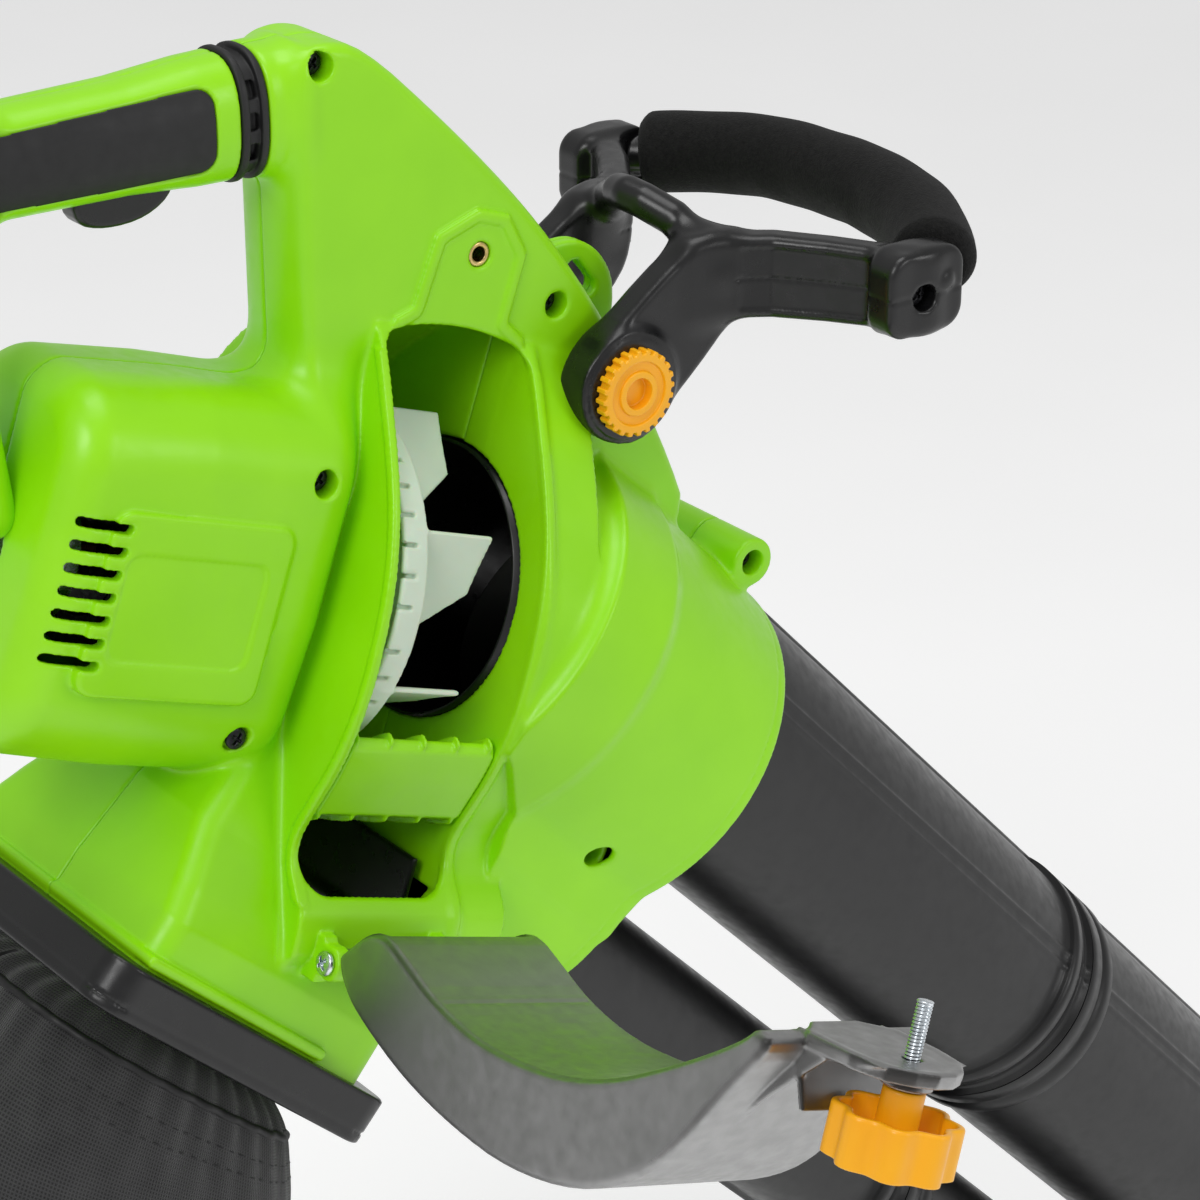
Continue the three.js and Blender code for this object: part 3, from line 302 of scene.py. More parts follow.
def metal(name, dark, light, rough, stretch=(1, 1, 1), metallic=1.0):
    m = Nodes(name)
    m.set(Metallic=metallic)
    m.colour(m.ramp(m.noise(240, 4, stretch), 0, 1), dark, light)
    m.roughness(m.ramp(m.noise(500, 3, stretch), rough - 0.07, rough + 0.1))
    m.bump((m.noise(1500, 2, stretch), 0.25, 0.00002))
    return m.material


ZINC = metal("zinc_plated", (0.52, 0.58, 0.62), (0.78, 0.82, 0.86), 0.24)
BLACK_STEEL = metal("black_oxide", (0.012, 0.012, 0.014), (0.04, 0.04, 0.045), 0.3, metallic=0.7)
BRASS = metal("turned_brass", (0.55, 0.39, 0.14), (0.74, 0.56, 0.25), 0.28, (1, 8, 1))
COPPER = metal("wound_copper", (0.40, 0.16, 0.07), (0.72, 0.34, 0.17), 0.35, (12, 1, 1))


def foam_material():
    m = Nodes("closed_cell_foam")
    m.set(Sheen_Weight=0.04, Sheen_Roughness=0.6, IOR=1.3)
    cells = m.node("ShaderNodeTexVoronoi", Scale=1500)
    m.link(m.position, cells.inputs["Vector"])
    m.colour(m.ramp(m.noise(700, 3), 0, 1), (0.002, 0.002, 0.002), (0.008, 0.0078, 0.0075))
    m.roughness(m.ramp(m.noise(300, 2), 0.86, 0.98))
    m.bump((cells.outputs["Distance"], 0.6, 0.00035), (m.noise(60, 3), 0.25, 0.0006))
    return m.material


def fabric_material():
    """A woven mesh: two crossed rows of threads with small holes between."""
    m = Nodes("mesh_fabric")
    m.set(Sheen_Weight=0.25, Sheen_Roughness=0.5)
    uv = m.node("ShaderNodeUVMap")
    uv.uv_map = "weave"
    split = m.node("ShaderNodeSeparateXYZ")
    m.link(uv.outputs["UV"], split.inputs["Vector"])
    waves = []
    for axis in ("X", "Y"):
        scaled = m.node("ShaderNodeMath", operation="MULTIPLY")
        scaled.inputs[1].default_value = 2 * math.pi * 700
        m.link(split.outputs[axis], scaled.inputs[0])
        wave = m.node("ShaderNodeMath", operation="SINE")
        m.link(scaled.outputs[0], wave.inputs[0])
        waves.append(wave.outputs[0])
    knit = m.node("ShaderNodeMath", operation="MAXIMUM")
    m.link(waves[0], knit.inputs[0])
    m.link(waves[1], knit.inputs[1])
    m.colour(m.ramp(knit.outputs[0], 0, 1, -0.6, 0.9), (0.002, 0.002, 0.002), (0.03, 0.03, 0.031))
    m.roughness(m.ramp(m.noise(90, 2), 0.75, 0.95))
    m.bump((knit.outputs[0], 0.5, 0.0003), (m.noise(40, 3), 0.3, 0.001))
    return m.material


FOAM = foam_material()
FABRIC = fabric_material()


def finish(obj, material, body, slot, *nodes):
    """The piece's material, the body it rides on, a slot argument that is not used, and the CAD nodes it
    stands for.
    """
    obj.data.materials.clear()
    obj.data.materials.append(material)
    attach(obj, body)
    if nodes:
        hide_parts(*nodes)
    return obj


# ------------------------------------------------------------------ housing
SPINE_HALF, WALL = 22, 3
SPINE = smooth_outline([(-14, 60), (-14, 200), (-7, 217), (6, 222), (24, 217), (61, 181), (90, 150),
                        (112, 123), (140, 82), (172, 19), (188, -24), (120, -42), (40, 20)])
DRUM_RIGHT = [(-20, 112), (-30, 101), (-42, 83), (-56, 61), (-66, 42), (-74, 18), (-77, -8), (-77, -32),
              (-72, -58), (-63, -80), (-57.5, -94), (-60, -105), (-71, -116), (-75, -124), (-75, -145)]
DRUM_LEFT = [(75, -145), (78, -120), (88, -80), (96, -40), (98, 0), (90, 40), (68, 78), (40, 101), (20, 112)]
DRUM = smooth_outline(DRUM_RIGHT + [(-28, -153), (28, -153)] + DRUM_LEFT, 2)
HOOD_N, HOOD_R, HOOD_RIM = 29, 87, 205
LOBE_N, LOBE_R = -45, 62
BIG_N, BIG_R, SMALL_N, SMALL_R = 53.3, 60.8, -68, 36
PAD = [(-12, 96), (-6, 112), (1, 117), (3, 147), (20, 160), (36, 160), (50, 146), (50, 117), (60, 112),
       (68, 96)]
WELLS = {"column": (3, 213, -22), "spine": (113, 94, -22), "motor_upper": (-19, 58, -50),
         "motor_lower": (-61, -41, -50), "hood": (98, -136, -66), "rim": (214, -46, -30)}
INSERT_U, INSERT_W = 27.4, 142
EYE = smooth_outline([(104, 96), (118, 111), (128, 113), (139, 112), (150, 104), (157, 90), (155, 70),
                      (130, 60)])
PIVOT_X, PIVOT_Z = 132, 60


def drum_table(y, w):
    """The drum's outline distance over a block, from a table in y and w."""
    ys = np.asarray(y).ravel()
    step = 0.25
    ws = np.arange(float(w.min()) - 1, float(w.max()) + 2, step, dtype=np.float32)
    table = polygon(DRUM, ys[:, None], ws[None, :]).astype(np.float32)
    place = (w[:, 0, :] - ws[0]) / step
    index = place.astype(np.int32)
    part = (place - index)[None]
    value = table[:, index] * (1 - part) + table[:, index + 1] * part
    return np.moveaxis(value, 0, 1)


def outer_skin(x, y, z):
    u, w = local(CORE, x, z)
    d, n = local(TUBES, x, z)
    s, t = local(BAG, x, z)
    t = -t
    ay = np.abs(y)
    spine = both(polygon(SPINE, x, z), ay - SPINE_HALF, 5.5)
    spine = smax(spine, 7 * (ay / 22) ** 2 - 14 - x, 4)
    outline = drum_table(y, w)
    drum = both(outline, np.abs(u - 26.5) - 40.5, 1.2)
    roll = np.clip((u + 36) / 22, 0, 1)
    taper = np.clip((-u - 90) / 60, 0, 1)
    half = 50 - 11 * roll**2 - 2 * taper - 0.1 * np.clip(-w - 10, 0, 80)
    section = rounded_box(y, w + 3, half, 79 - 3 * taper, 33)
    motor = both(section, np.maximum(u + 12, -150 - u), 16)
    half_y = np.interp(t, [40, 60, 104, 128, 142, 178], [22, 32, 52, 66, 72.5, 74])
    back = np.interp(t, [60, 104, 142], [0, -14, -18])
    front = np.interp(t, [60, 104, 142], [96, 112, 117])
    duct = rounded_box(s - (front + back) / 2, y, (front - back) / 2, half_y, 10)
    duct = np.maximum(duct, np.maximum(50 - t, t - 178))
    hood = both(np.hypot(y, n - HOOD_N) - HOOD_R, np.maximum(76 - d, d - HOOD_RIM), 1.5)
    lobe = both(np.hypot(y, n - LOBE_N) - LOBE_R, np.maximum(64 - d, d - HOOD_RIM), 1.5)
    bridge = both(rounded_box(n + 8, y, 40, 62, 3), np.maximum(80 - d, d - HOOD_RIM), 1.5)
    front_part = smin(smin(hood, lobe, 10), bridge, 8)
    way = ((x - 56.1) * 0.705 - (z + 18.3) * 0.709) / 56
    beside = (x - 56.1) * 0.709 + (z + 18.3) * 0.705
    swell = 76 + 10.4 * np.clip(way, -0.3, 1.3)
    fairing = both(np.hypot(y, beside) - swell, np.maximum(59 - u, d - 112), 1.5)
    start = 67 + 21 * np.clip((-48 - w) / 30, 0, 1) * np.clip((-y - 10) / 20, 0, 1)
    front_part = np.maximum(smin(front_part, fairing, 9), np.minimum(start - u, outline + 6))
    neck = np.maximum(outline + 2, np.abs(u - 80) - 14)
    front_part = smin(front_part, neck, 2)
    collar = both(superellipse(y, z - 196, 20.6, 25.5, 2.6), np.maximum(-19 - x, x + 2), 1.2)
    body = smin(spine, motor, 24)
    body = smin(body, collar, 7)
    body = smin(body, drum, 3)
    body = smin(body, duct, 5)
    body = smin(body, front_part, 6)
    boss = cylinder(x - 214, z + 46, y, 11, -30, 30, 1.2)
    body = smin(body, boss, 6)
    return body, outline, u, w, d, n, s, t, ay


def superellipse(a, b, half_a, half_b, power):
    ratio = (np.abs(a / half_a) ** power + np.abs(b / half_b) ** power) ** (1 / power)
    return (ratio - 1) * min(half_a, half_b)


def housing_field(x, y, z):
    body, outline, u, w, d, n, s, t, ay = outer_skin(x, y, z)
    right = y < 0
    # raised features on the skin
    lip = both(np.abs(outline + 1.9) - 2.3, np.abs(np.abs(u - 26.5) - 39) - 2.9, 0.6)
    lip = np.maximum(lip, np.maximum(w - 100, -118 - w))
    pad2 = polygon(PAD, u, w)
    pad = both(pad2, np.maximum(-24.4 - y, y + 20), 0.9)
    pad = np.maximum(pad, -both(pad2 + 5.2, y + 23.2, 0.5))
    label = rounded_box(u + 88, w + 6.7, 41.5, 36.5, 8)
    label_pad = both(label, np.maximum(-51.6 - y, y + 40), 1.2)
    guide = both(rounded_box(s - 33, t - 160, 53, 2.5, 1.5), ay - 77, 1)
    eye = both(polygon(EYE, x, z), ay - 4.5, 1.4)
    pivot = np.hypot(x - PIVOT_X, z - PIVOT_Z)
    bosses = both(pivot - 13, ay - 27.6, 0.6)
    skin = np.minimum(body, np.where(right, np.minimum(np.minimum(lip, pad), label_pad), 50))
    skin = np.minimum(np.minimum(skin, guide), np.minimum(eye, bosses))
    # hollow with its inner walls
    shell = np.maximum(skin, -(body + WALL))
    inlet = np.hypot(y, w - 2) - 59
    front_wall = np.maximum(np.maximum(np.abs(u - 65.2) - 1.8, np.maximum(body + 1, w - 118)), -inlet)
    front_wall = np.maximum(front_wall, -both(w + 116, np.abs(y) - 60))
    rear_wall = np.maximum(np.maximum(np.abs(u + 12.5) - 1.5, outline + 1),
                           -rounded_box(y, w + 124, 50, 24, 6))
    rear_wall = np.maximum(rear_wall, 40 - np.hypot(y, w))
    rim_plate = np.maximum(np.abs(d - 201) - 2, body + 1)
    shell = np.minimum(shell, np.minimum(np.minimum(front_wall, rear_wall), rim_plate))
    # screw posts and their wells
    for px, pz, face in WELLS.values():
        r = np.hypot(x - px, z - pz)
        shell = np.minimum(shell, np.maximum(both(r - 8.4, face + 1.5 - y), body + 0.5))
        well = smax(r - 5.6, np.maximum(y - face - 12, -40), 0.8)
        shell = smax(shell, -np.where(right, well, 50), 1.0)
        shell = np.maximum(shell, -np.where(right, np.maximum(r - 2.3, y + 2), 50))
    insert = np.hypot(u - INSERT_U, w - INSERT_W)
    shell = np.minimum(shell, np.maximum(insert - 9, np.maximum(-22 - y, y)))
    shell = smax(shell, -np.where(right, np.maximum(insert - 5.3, y + 10), 50), 0.8)
    shell = np.maximum(shell, -np.maximum(insert - 3.6, y + 1))
    # openings
    top = 104 + 8 * np.clip(1 - ((u - 26) / 42) ** 2, 0, 1)
    window = both(both(np.abs(u - 26) - 37.4, -115 - w, 14), w - top, 7)
    window = np.maximum(window, y + 16 + 14 * np.clip((40 - w) / 100, 0, 1))
    shell = smax(shell, -window, 0.8)
    for centre, radius in ((BIG_N, BIG_R + 1), (SMALL_N, SMALL_R + 1)):
        shell = np.maximum(shell, -np.maximum(np.hypot(y, n - centre) - radius, 120 - d))
    shell = np.maximum(shell, -np.maximum(rounded_box(s - 49.5, y, 61.5, 68, 8), 150 - t))
    slot_a, slot_b = 0.6 * (x - 139) - 0.8 * (z - 95), 0.8 * (x - 139) + 0.6 * (z - 95)
    shell = smax(shell, -rounded_box(slot_a, slot_b, 9.7, 4.2, 4), 0.8)
    shell = np.maximum(shell, 4.4 - pivot)
    selector = np.hypot(u - 57, w + 140)
    shell = np.maximum(shell, -np.where(y > 40, selector - 4.3, 50))
    shaft = np.maximum(np.hypot(y, w) - 12, u + 130)
    shell = np.maximum(shell, -shaft)
    recess = both(rounded_box(u + 88, w + 7.3, 32, 21.2, 6), y + 50.8, 0.4)
    shell = smax(shell, -np.where(right, np.maximum(recess, -60 - y), 50), 0.6)
    # hinge ears
    hinge = np.hypot(y + 85, w + 136)
    ear = smin(hinge - 7.2, rounded_box(y + 70, w + 137, 10, 10, 2), 3)
    ears = np.minimum(both(ear, np.abs(u + 0.5) - 3.5, 0.5), both(ear, np.abs(u - 55.5) - 3.5, 0.5))
    shell = np.minimum(shell, np.where(right, ears, 50))
    shell = np.maximum(shell, -np.where(right, np.maximum(hinge - 8.5, np.abs(u - 27.5) - 24.5), 50))
    shell = np.maximum(shell, 2.4 - hinge)
    # fine joint lines: the hood's lip and the air slots at the motor's tail
    groove = np.abs(np.hypot(d - 198.6, body)) - 0.5
    shell = np.maximum(shell, -groove)
    slots = rounded_box(w + 4 - 9 * np.clip(np.round((w + 4) / 9), -3, 3), u + 132, 1.9, 11, 1.8)
    slots = np.maximum(slots, 40 - ay)
    shell = smax(shell, -slots, 0.8)
    return shell


def build_housing():
    fine = 1.05
    seam = 0.12
    for name, sign in (("right", -1), ("left", 1)):
        def half(x, y, z, sign=sign):
            return np.maximum(housing_field(x, y, z), seam - sign * y)
        low = (-168, -96, -232) if sign < 0 else (-168, -1, -232)
        high = (226, 1, 226) if sign < 0 else (226, 100, 226)
        obj = mould(f"housing_{name}_moulded", half, low, high, fine if sign < 0 else 1.5)
        finish(obj, GREEN, "machine", "green_plastic", f"housing_{name}")


build_housing()


# ------------------------------------------------------------------ inside the opening
def intake_liner():
    """The black sleeve that leads from the suction tube to the hole in the chamber's front wall."""
    steps = 96
    rings = []
    for grow in (0, 1.4):
        for f in ([0, 0.25, 0.5, 0.75, 1] if grow == 0 else [1, 0.75, 0.5, 0.25, 0]):
            ring = []
            for a in np.linspace(0, 2 * math.pi, steps, endpoint=False):
                c, s = math.cos(a), math.sin(a)
                near = CORE @ np.array([61.5, (57 + grow) * c, 2 + (57 + grow) * s])
                far = TUBES @ np.array([139.5, (57.5 + grow) * c, BIG_N + (57.5 + grow) * s])
                ring.append(near * (1 - f) + far * f)
            rings.append(ring)
    rings.append(rings[0])
    points = np.concatenate([np.array(r) for r in rings])
    obj = mesh_object("intake_liner", points, grid_faces(len(rings), steps)[:, ::-1])
    finish(obj, BLACK, "machine", "black_plastic")


def inner_parts():
    ramp = smooth_outline([(-72, -45), (-64, -49), (-5, -88), (0, -98), (-8, -100), (-66, -82), (-74, -70)])

    def tongue(u, y, w):
        sheet = polygon(ramp, y, w)
        sheet = both(sheet, np.abs(u - 26.5) - 36.5, 1)
        rib = np.abs((u - 0.0022 * (y + 80) ** 2) % 17 - 8.5) - 0.8
        ribs = both(np.maximum(sheet - 2.4, np.abs(u - 26.5) - 36), rib, 0.3)
        body = np.maximum(np.minimum(sheet, ribs), np.abs(u - 26.5) - 36.6)
        return np.maximum(body, polygon(DRUM, y, w) + 1)

    obj = mould("cutoff_tongue_moulded", tongue, (-12, -80, -104), (66, 6, -38), 0.9, CORE)
    finish(obj, GREEN, "machine", "green_plastic", "cutoff_tongue")

    # the impeller: a dished back plate, seven curved blades and ribs on the rim
    def wheel(u, y, w):
        r = np.hypot(y, w)
        a = np.arctan2(w, y)
        plate = both(r - 75, np.abs(u + 2.5) - 2.5, 0.8)
        rim = both(np.abs(r - 73.6) - 1.5, np.abs(u + 2) - 6, 0.6)
        hub = smax(both(r - 21, np.maximum(-7 - u, u - 14), 2), 9 - r, 0.5)
        body = np.minimum(smin(plate, hub, 4), rim)
        notch = np.abs((a * 73.6) % 12 - 6) - 0.9
        body = np.maximum(body, -np.maximum(notch, np.maximum(72.6 - r, u + 1.2)))
        for i in range(7):
            tip = math.radians(149) + i * 2 * math.pi / 7
            cy, cw = 74 * math.cos(tip), 74 * math.sin(tip)
            lean = tip + math.radians(131)
            ty, tw = math.cos(lean), math.sin(lean)
            run = (y - cy) * ty + (w - cw) * tw
            side = -(y - cy) * tw + (w - cw) * ty
            length = 58 - 31 * np.clip(u / 38, 0, 1)
            bow = 7 * (run / 58) * (1 - run / 58)
            blade = both(np.abs(side - bow) - 1.2, np.maximum(np.maximum(-run, run - length), u - 38), 0.8)
            blade = np.maximum(blade, -3 - u)
            body = smin(body, blade, 2.5)
        return np.maximum(body, 4.2 - r)

    obj = mould("impeller_moulded", wheel, (-9, -77, -77), (40, 77, 77), 0.9, CORE)
    finish(obj, NYLON, "rotor", "natural_nylon", "impeller")


# ------------------------------------------------------------------ service flap
FLAP_BACK = [(-28, 117), (-50, 100), (-78, 83), (-97, 66), (-112, 38), (-118, 1), (-115, -34), (-108, -67),
             (-96, -98), (-88, -112)]
FLAP_SEAT = [(-77, -120), (-73, -116), (-61.8, -105), (-59.3, -94), (-64.8, -80), (-73.8, -58), (-78.8, -32),
             (-78.8, -8), (-75.8, 18), (-67.8, 42), (-57.8, 61), (-43.8, 84), (-31, 102), (-25.4, 106)]

FLAP_MOUTH = [(-80, -112), (-62, -100), (-59, -92), (-66, -76), (-74, -56), (-76, -30), (-76, -6), (-72, 19),
              (-64, 43), (-54, 62), (-40, 84), (-20, 101), (-20, 20), (-20, -112)]


def flap():
    outline = smooth_outline(FLAP_BACK + FLAP_SEAT)
    tab_line = smooth_outline([(4, 104), (4, 146), (20, 159), (36, 159), (49, 145), (49, 104)], 1)

    def field(u, y, w):
        shape = polygon(outline, y, w)
        outer = both(shape, np.abs(u - 26.5) - 40.5, 3.2)
        inner = both(shape + 2.4, np.abs(u - 26.5) - 38, 2)
        shell = np.maximum(outer, -inner)
        mouth = np.maximum(polygon(FLAP_MOUTH, y, w), np.abs(u - 26.5) - 38)
        shell = np.maximum(shell, -mouth)
        lip = np.maximum(np.abs(shape + 1.2) - 1.2, np.abs(np.abs(u - 26.5) - 37.5) - 0.9)
        tab2 = polygon(tab_line, u, w)
        tab = both(tab2, np.maximum(y + 24.6, -27.8 - y), 0.8)
        edge = both(np.abs(tab2 + 1.6) - 1.6, np.maximum(y + 24.6, -30 - y), 0.6)
        hole = np.hypot(u - INSERT_U, w - INSERT_W)
        boss = both(hole - 9.5, np.maximum(y + 25, -34.4 - y), 0.8)
        rib = polygon([(-25, 150), (-25, 108), (-70, 86), (-52, 102), (-31, 124)], y, w)
        ribs = np.minimum(both(rib, np.abs(u - 6.2) - 1.2, 0.4), both(rib, np.abs(u - 46.8) - 1.2, 0.4))
        reach = np.maximum(np.abs(u - 26.5) - 21, np.maximum(-52 - y, y + 27))
        cross = both(np.abs((w - 108) + 0.45 * (y + 30)) - 1.2, reach, 0.4)
        barrel = cylinder(y + 85, w + 136, u, 5.8, 3.4, 51.6, 0.8)
        web = polygon([(-90.6, -136), (-83, -131), (-78, -117), (-90, -111)], y, w)
        web = both(web, np.abs(u - 27.5) - 22, 0.6)
        body = np.minimum(shell, lip)
        for piece in (tab, edge, boss, ribs, cross):
            body = smin(body, piece, 1.2)
        body = smin(body, smin(barrel, web, 2), 2)
        body = np.maximum(body, 3.6 - hole)
        return np.maximum(body, 2.5 - np.hypot(y + 85, w + 136))

    obj = mould("service_flap_moulded", field, (-16, -121, -144), (69, -22, 162), 0.8, FLAP, FLAP_AT)
    finish(obj, SMOKED, "flap", "smoked_plastic", "service_flap")


# ------------------------------------------------------------------ turned and threaded pieces
def lathe(name, profile, at, along, matrix=UPRIGHT, offset=(0, 0, 0), steps=48):
    """A turned piece: a profile of (radius, distance) pairs swept round an axis."""
    side, other = basis(along)
    angles = np.linspace(0, 2 * math.pi, steps, endpoint=False)[:, None]
    spokes = side * np.cos(angles) + other * np.sin(angles)
    at, along = np.array(at), np.array(along)
    rings = [at + along * height + spokes * max(radius, 0.01) for radius, height in profile]
    return mesh_object(name, np.concatenate(rings), grid_faces(len(profile), steps), matrix, offset)


def thread(name, start, along, radius, length, pitch_mm, matrix, offset, steps=24):
    """A screw thread with a real helix, closed at both ends."""
    along = np.array(along, float)
    side, other = basis(along)
    rows = int(length / pitch_mm * 8) + 1
    points = [np.array(start)]
    for r in range(rows):
        h = length * r / (rows - 1)
        for i in range(steps):
            a = 2 * math.pi * i / steps
            wave = abs(((h / pitch_mm - i / steps) % 1) * 2 - 1)
            fade = min(1, h / 1.0, (length - h) / 1.0)
            rr = radius - 0.14 * radius * wave * max(fade, 0.2)
            points.append(np.array(start) + along * h + (side * math.cos(a) + other * math.sin(a)) * rr)
    points.append(np.array(start) + along * length)
    faces = []
    for i in range(steps):
        j = (i + 1) % steps
        faces.append((0, 1 + j, 1 + i))
        last = 1 + (rows - 1) * steps
        faces.append((len(points) - 1, last + i, last + j))
        for r in range(rows - 1):
            a, b = 1 + r * steps, 1 + (r + 1) * steps
            faces.append((a + i, a + j, b + j, b + i))
    return mesh_object(name, points, [list(f) for f in faces], matrix, offset)


def screw_head(name, at, along, radius, height, matrix, material, nodes, shank, body="machine"):
    """A pan-head screw with a cross recess, its head facing along. shank is (radius, length)."""
    along = np.array(along, float)
    side, other = basis(along)

    def field(x, y, z):
        p = np.stack(np.broadcast_arrays(x - at[0], y - at[1], z - at[2]))
        a = np.tensordot(along, p, 1)
        b, c = np.tensordot(side, p, 1), np.tensordot(other, p, 1)
        r = np.hypot(b, c)
        head = both(r - radius, np.maximum(-a, a - height + 0.12 * height * (r / radius) ** 2 * 3), 0.5)
        q1, q2 = (b + c) * 0.7071, (b - c) * 0.7071
        arm = np.minimum(np.maximum(np.abs(q1) - 0.16 * radius, np.abs(q2) - 0.62 * radius),
                         np.maximum(np.abs(q2) - 0.16 * radius, np.abs(q1) - 0.62 * radius))
        recess = np.maximum(arm + 0.12 * (height - a), 0.25 * height - a)
        head = np.maximum(head, -recess)
        return np.minimum(head, np.maximum(r - shank[0], np.maximum(a - 0.5, -shank[1] - a)))

    reach = max(radius, shank[1]) + 1
    low = [at[i] - (radius + 1 if abs(along[i]) < 0.5 else reach + height) for i in range(3)]
    high = [at[i] + (radius + 1 if abs(along[i]) < 0.5 else reach + height) for i in range(3)]
    obj = mould(name, field, low, high, 0.28, matrix, rounds=1)
    return finish(obj, material, body, "steel" if material is ZINC else "dark_steel", *nodes)


# ------------------------------------------------------------------ front handle
def chain(points, x, y, z):
    """Distance to a bent line through the points."""
    best = None
    for p, q in zip(points, points[1:]):
        p, q = np.array(p, float), np.array(q, float)
        e = q - p
        f = np.clip(((x - p[0]) * e[0] + (y - p[1]) * e[1] + (z - p[2]) * e[2]) / (e @ e), 0, 1)
        d = np.sqrt((x - p[0] - e[0] * f) ** 2 + (y - p[1] - e[1] * f) ** 2 + (z - p[2] - e[2] * f) ** 2)
        best = d if best is None else np.minimum(best, d)
    return best


def loop_point(y):
    bow = 42 * (1 - abs(y / 103) ** 2.5)
    return (245 + bow * math.cos(math.radians(10)), y, 101 + bow * math.sin(math.radians(10)))


def front_handle():
    cheek_line = smooth_outline([(114, 76), (122, 44), (140, 34), (172, 60), (192, 80), (196, 112),
                                 (180, 117), (160, 110)])
    arm_line = [(172, 36), (186, 42), (202, 53), (216, 72), (228, 92), (237, 104)]
    arch_line = [(182, 38, 98), (180, 31, 109), (175, 20, 118), (169, 8, 123.5), (167, 0, 125)]
    core_line = [loop_point(v) for v in np.linspace(90, 104, 4)]

    def field(x, y, z):
        ay = np.abs(y)
        pivot = np.hypot(x - PIVOT_X, z - PIVOT_Z)
        hub = both(pivot - 23.5, np.abs(ay - 37) - 9, 1.6)
        hub = np.maximum(hub, -both(21 - pivot, np.maximum(44.9 - ay, 19.6 - pivot), 0.3))
        cheek = both(polygon(cheek_line, x, z), np.abs(ay - 36.5) - 7.3, 3)
        side = chain([(p[0], p[1], 0) for p in arm_line], x, ay, 0 * z)
        depth = 18 - 1.2 * np.clip((x - 200) / 40, 0, 1)
        arm = both(side - 7.2, np.abs(z - 97) - depth, 4.5)
        inset = both(np.abs(z - 97) - depth + 4.5, np.abs(side - 8.2) - 1.9, 0.8)
        inset = np.maximum(inset, np.maximum(186 - x, x - 222))
        outside = (ay - 38) * 0.78 - (x - 176) * 0.62
        arm = smax(arm, -np.maximum(inset, -outside - 40), 1)
        end = both(rounded_box(x - 235, z - 97.5, 20.5, 18.2, 10), np.abs(ay - 103.5) - 8, 3)
        arch = chain(arch_line, x, ay, z) - 7.6
        saddle = chain(core_line, x, ay, z) - 9.5
        body = smin(hub, cheek, 7)
        body = smin(body, arm, 9)
        body = smin(body, arch, 7)
        body = smin(body, end, 7)
        body = np.minimum(body, saddle)
        well = np.maximum(np.hypot(x - 233, z - 96) - 5.6, 104 - ay)
        body = smax(body, -well, 1.2)
        seam = np.hypot(np.abs(z - 97.2), np.maximum(-body, 0)) - 0.5
        body = np.maximum(body, -np.maximum(seam, 184 - x))
        return np.maximum(body, 4.4 - pivot)

    obj = mould("front_handle_moulded", field, (105, -113, 33), (259, 113, 135), 1.0)
    finish(obj, BLACK, "front_handle", "black_plastic", "front_handle_yoke")
    for side in (-1, 1):
        end = "right" if side < 0 else "left"
        screw_head(f"front_handle_screw_{end}", (233, side * 104.6, 96), (0, side, 0), 4.6, 2.6, UPRIGHT,
                   BLACK_STEEL, (), (2.2, 6), "front_handle")
    steps, around = 150, 56
    points, faces = [], []
    for i in range(steps + 1):
        v = -95.5 + 191 * i / steps
        centre = np.array(loop_point(v))
        ahead = np.array(loop_point(v + 0.5)) - np.array(loop_point(v - 0.5))
        ahead /= np.linalg.norm(ahead)
        up = np.array([-math.sin(math.radians(10)), 0, math.cos(math.radians(10))])
        side = np.cross(ahead, up)
        edge = min(i, steps - i) / steps * 191
        radius = 18.3 - 4.5 * max(0, 1 - edge / 4.5) ** 2
        for j in range(around):
            a = 2 * math.pi * j / around
            bump = 0.18 * math.sin(3 * a + 0.11 * v) + 0.14 * math.sin(0.21 * v + 2 * a)
            points.append(centre + (radius + bump) * (side * math.cos(a) + up * math.sin(a)))
    for i in range(steps):
        for j in range(around):
            k = (j + 1) % around
            faces.append([i * around + j, i * around + k, (i + 1) * around + k, (i + 1) * around + j])
    for row, flip in ((0, True), (steps, False)):
        centre_index = len(points)
        points.append(np.mean(points[row * around : (row + 1) * around], axis=0))
        for j in range(around):
            k = (j + 1) % around
            pair = (row * around + k, row * around + j) if flip else (row * around + j, row * around + k)
            faces.append([centre_index, *pair])
    foam = mesh_object("foam_sleeve", points, faces)
    finish(foam, FOAM, "front_handle", "foam", "foam_grip")

    def knob(x, y, z):
        px, pz = x - PIVOT_X, z - PIVOT_Z
        r = np.hypot(px, pz)
        a = np.arctan2(pz, px)
        tooth = np.clip(0.5 + 2.4 * np.cos(24 * a), 0, 1)
        body = both(r - 16.9 - 1.6 * tooth, np.abs(y + 49.4) - 3, 0.7)
        dish = both(r - 13.6, y + 50.8, 0.6)
        body = smax(body, -np.maximum(dish, 9.6 - r), 0.7)
        return smax(body, -np.maximum(r - 6.6, y + 47.6), 0.5)

    obj = mould("lock_knob_moulded", knob, (112, -53, 40), (152, -46, 80), 0.4)
    finish(obj, YELLOW, "lock_knob", "yellow_plastic", "lock_knob")
    profile = [(0, -46.2), (3.4, -46.2), (4, -45.6), (4, 46), (0, 46)]
    bolt = lathe("pivot_bolt_turned", profile, (PIVOT_X, 0, PIVOT_Z), (0, 1, 0))
    finish(bolt, ZINC, "machine", "steel", "handle_pivot_bolt")

    def cap(x, y, z):
        r = np.hypot(x - PIVOT_X, z - PIVOT_Z)
        return both(r - 17, np.abs(y - 48.8) - 2.5, 1.6)

    obj = mould("pivot_cap_moulded", cap, (113, 45, 41), (151, 52, 79), 0.6)
    finish(obj, BLACK, "machine", "black_plastic", "pivot_cap")


# ------------------------------------------------------------------ rear handle
GRIP_Z = 196


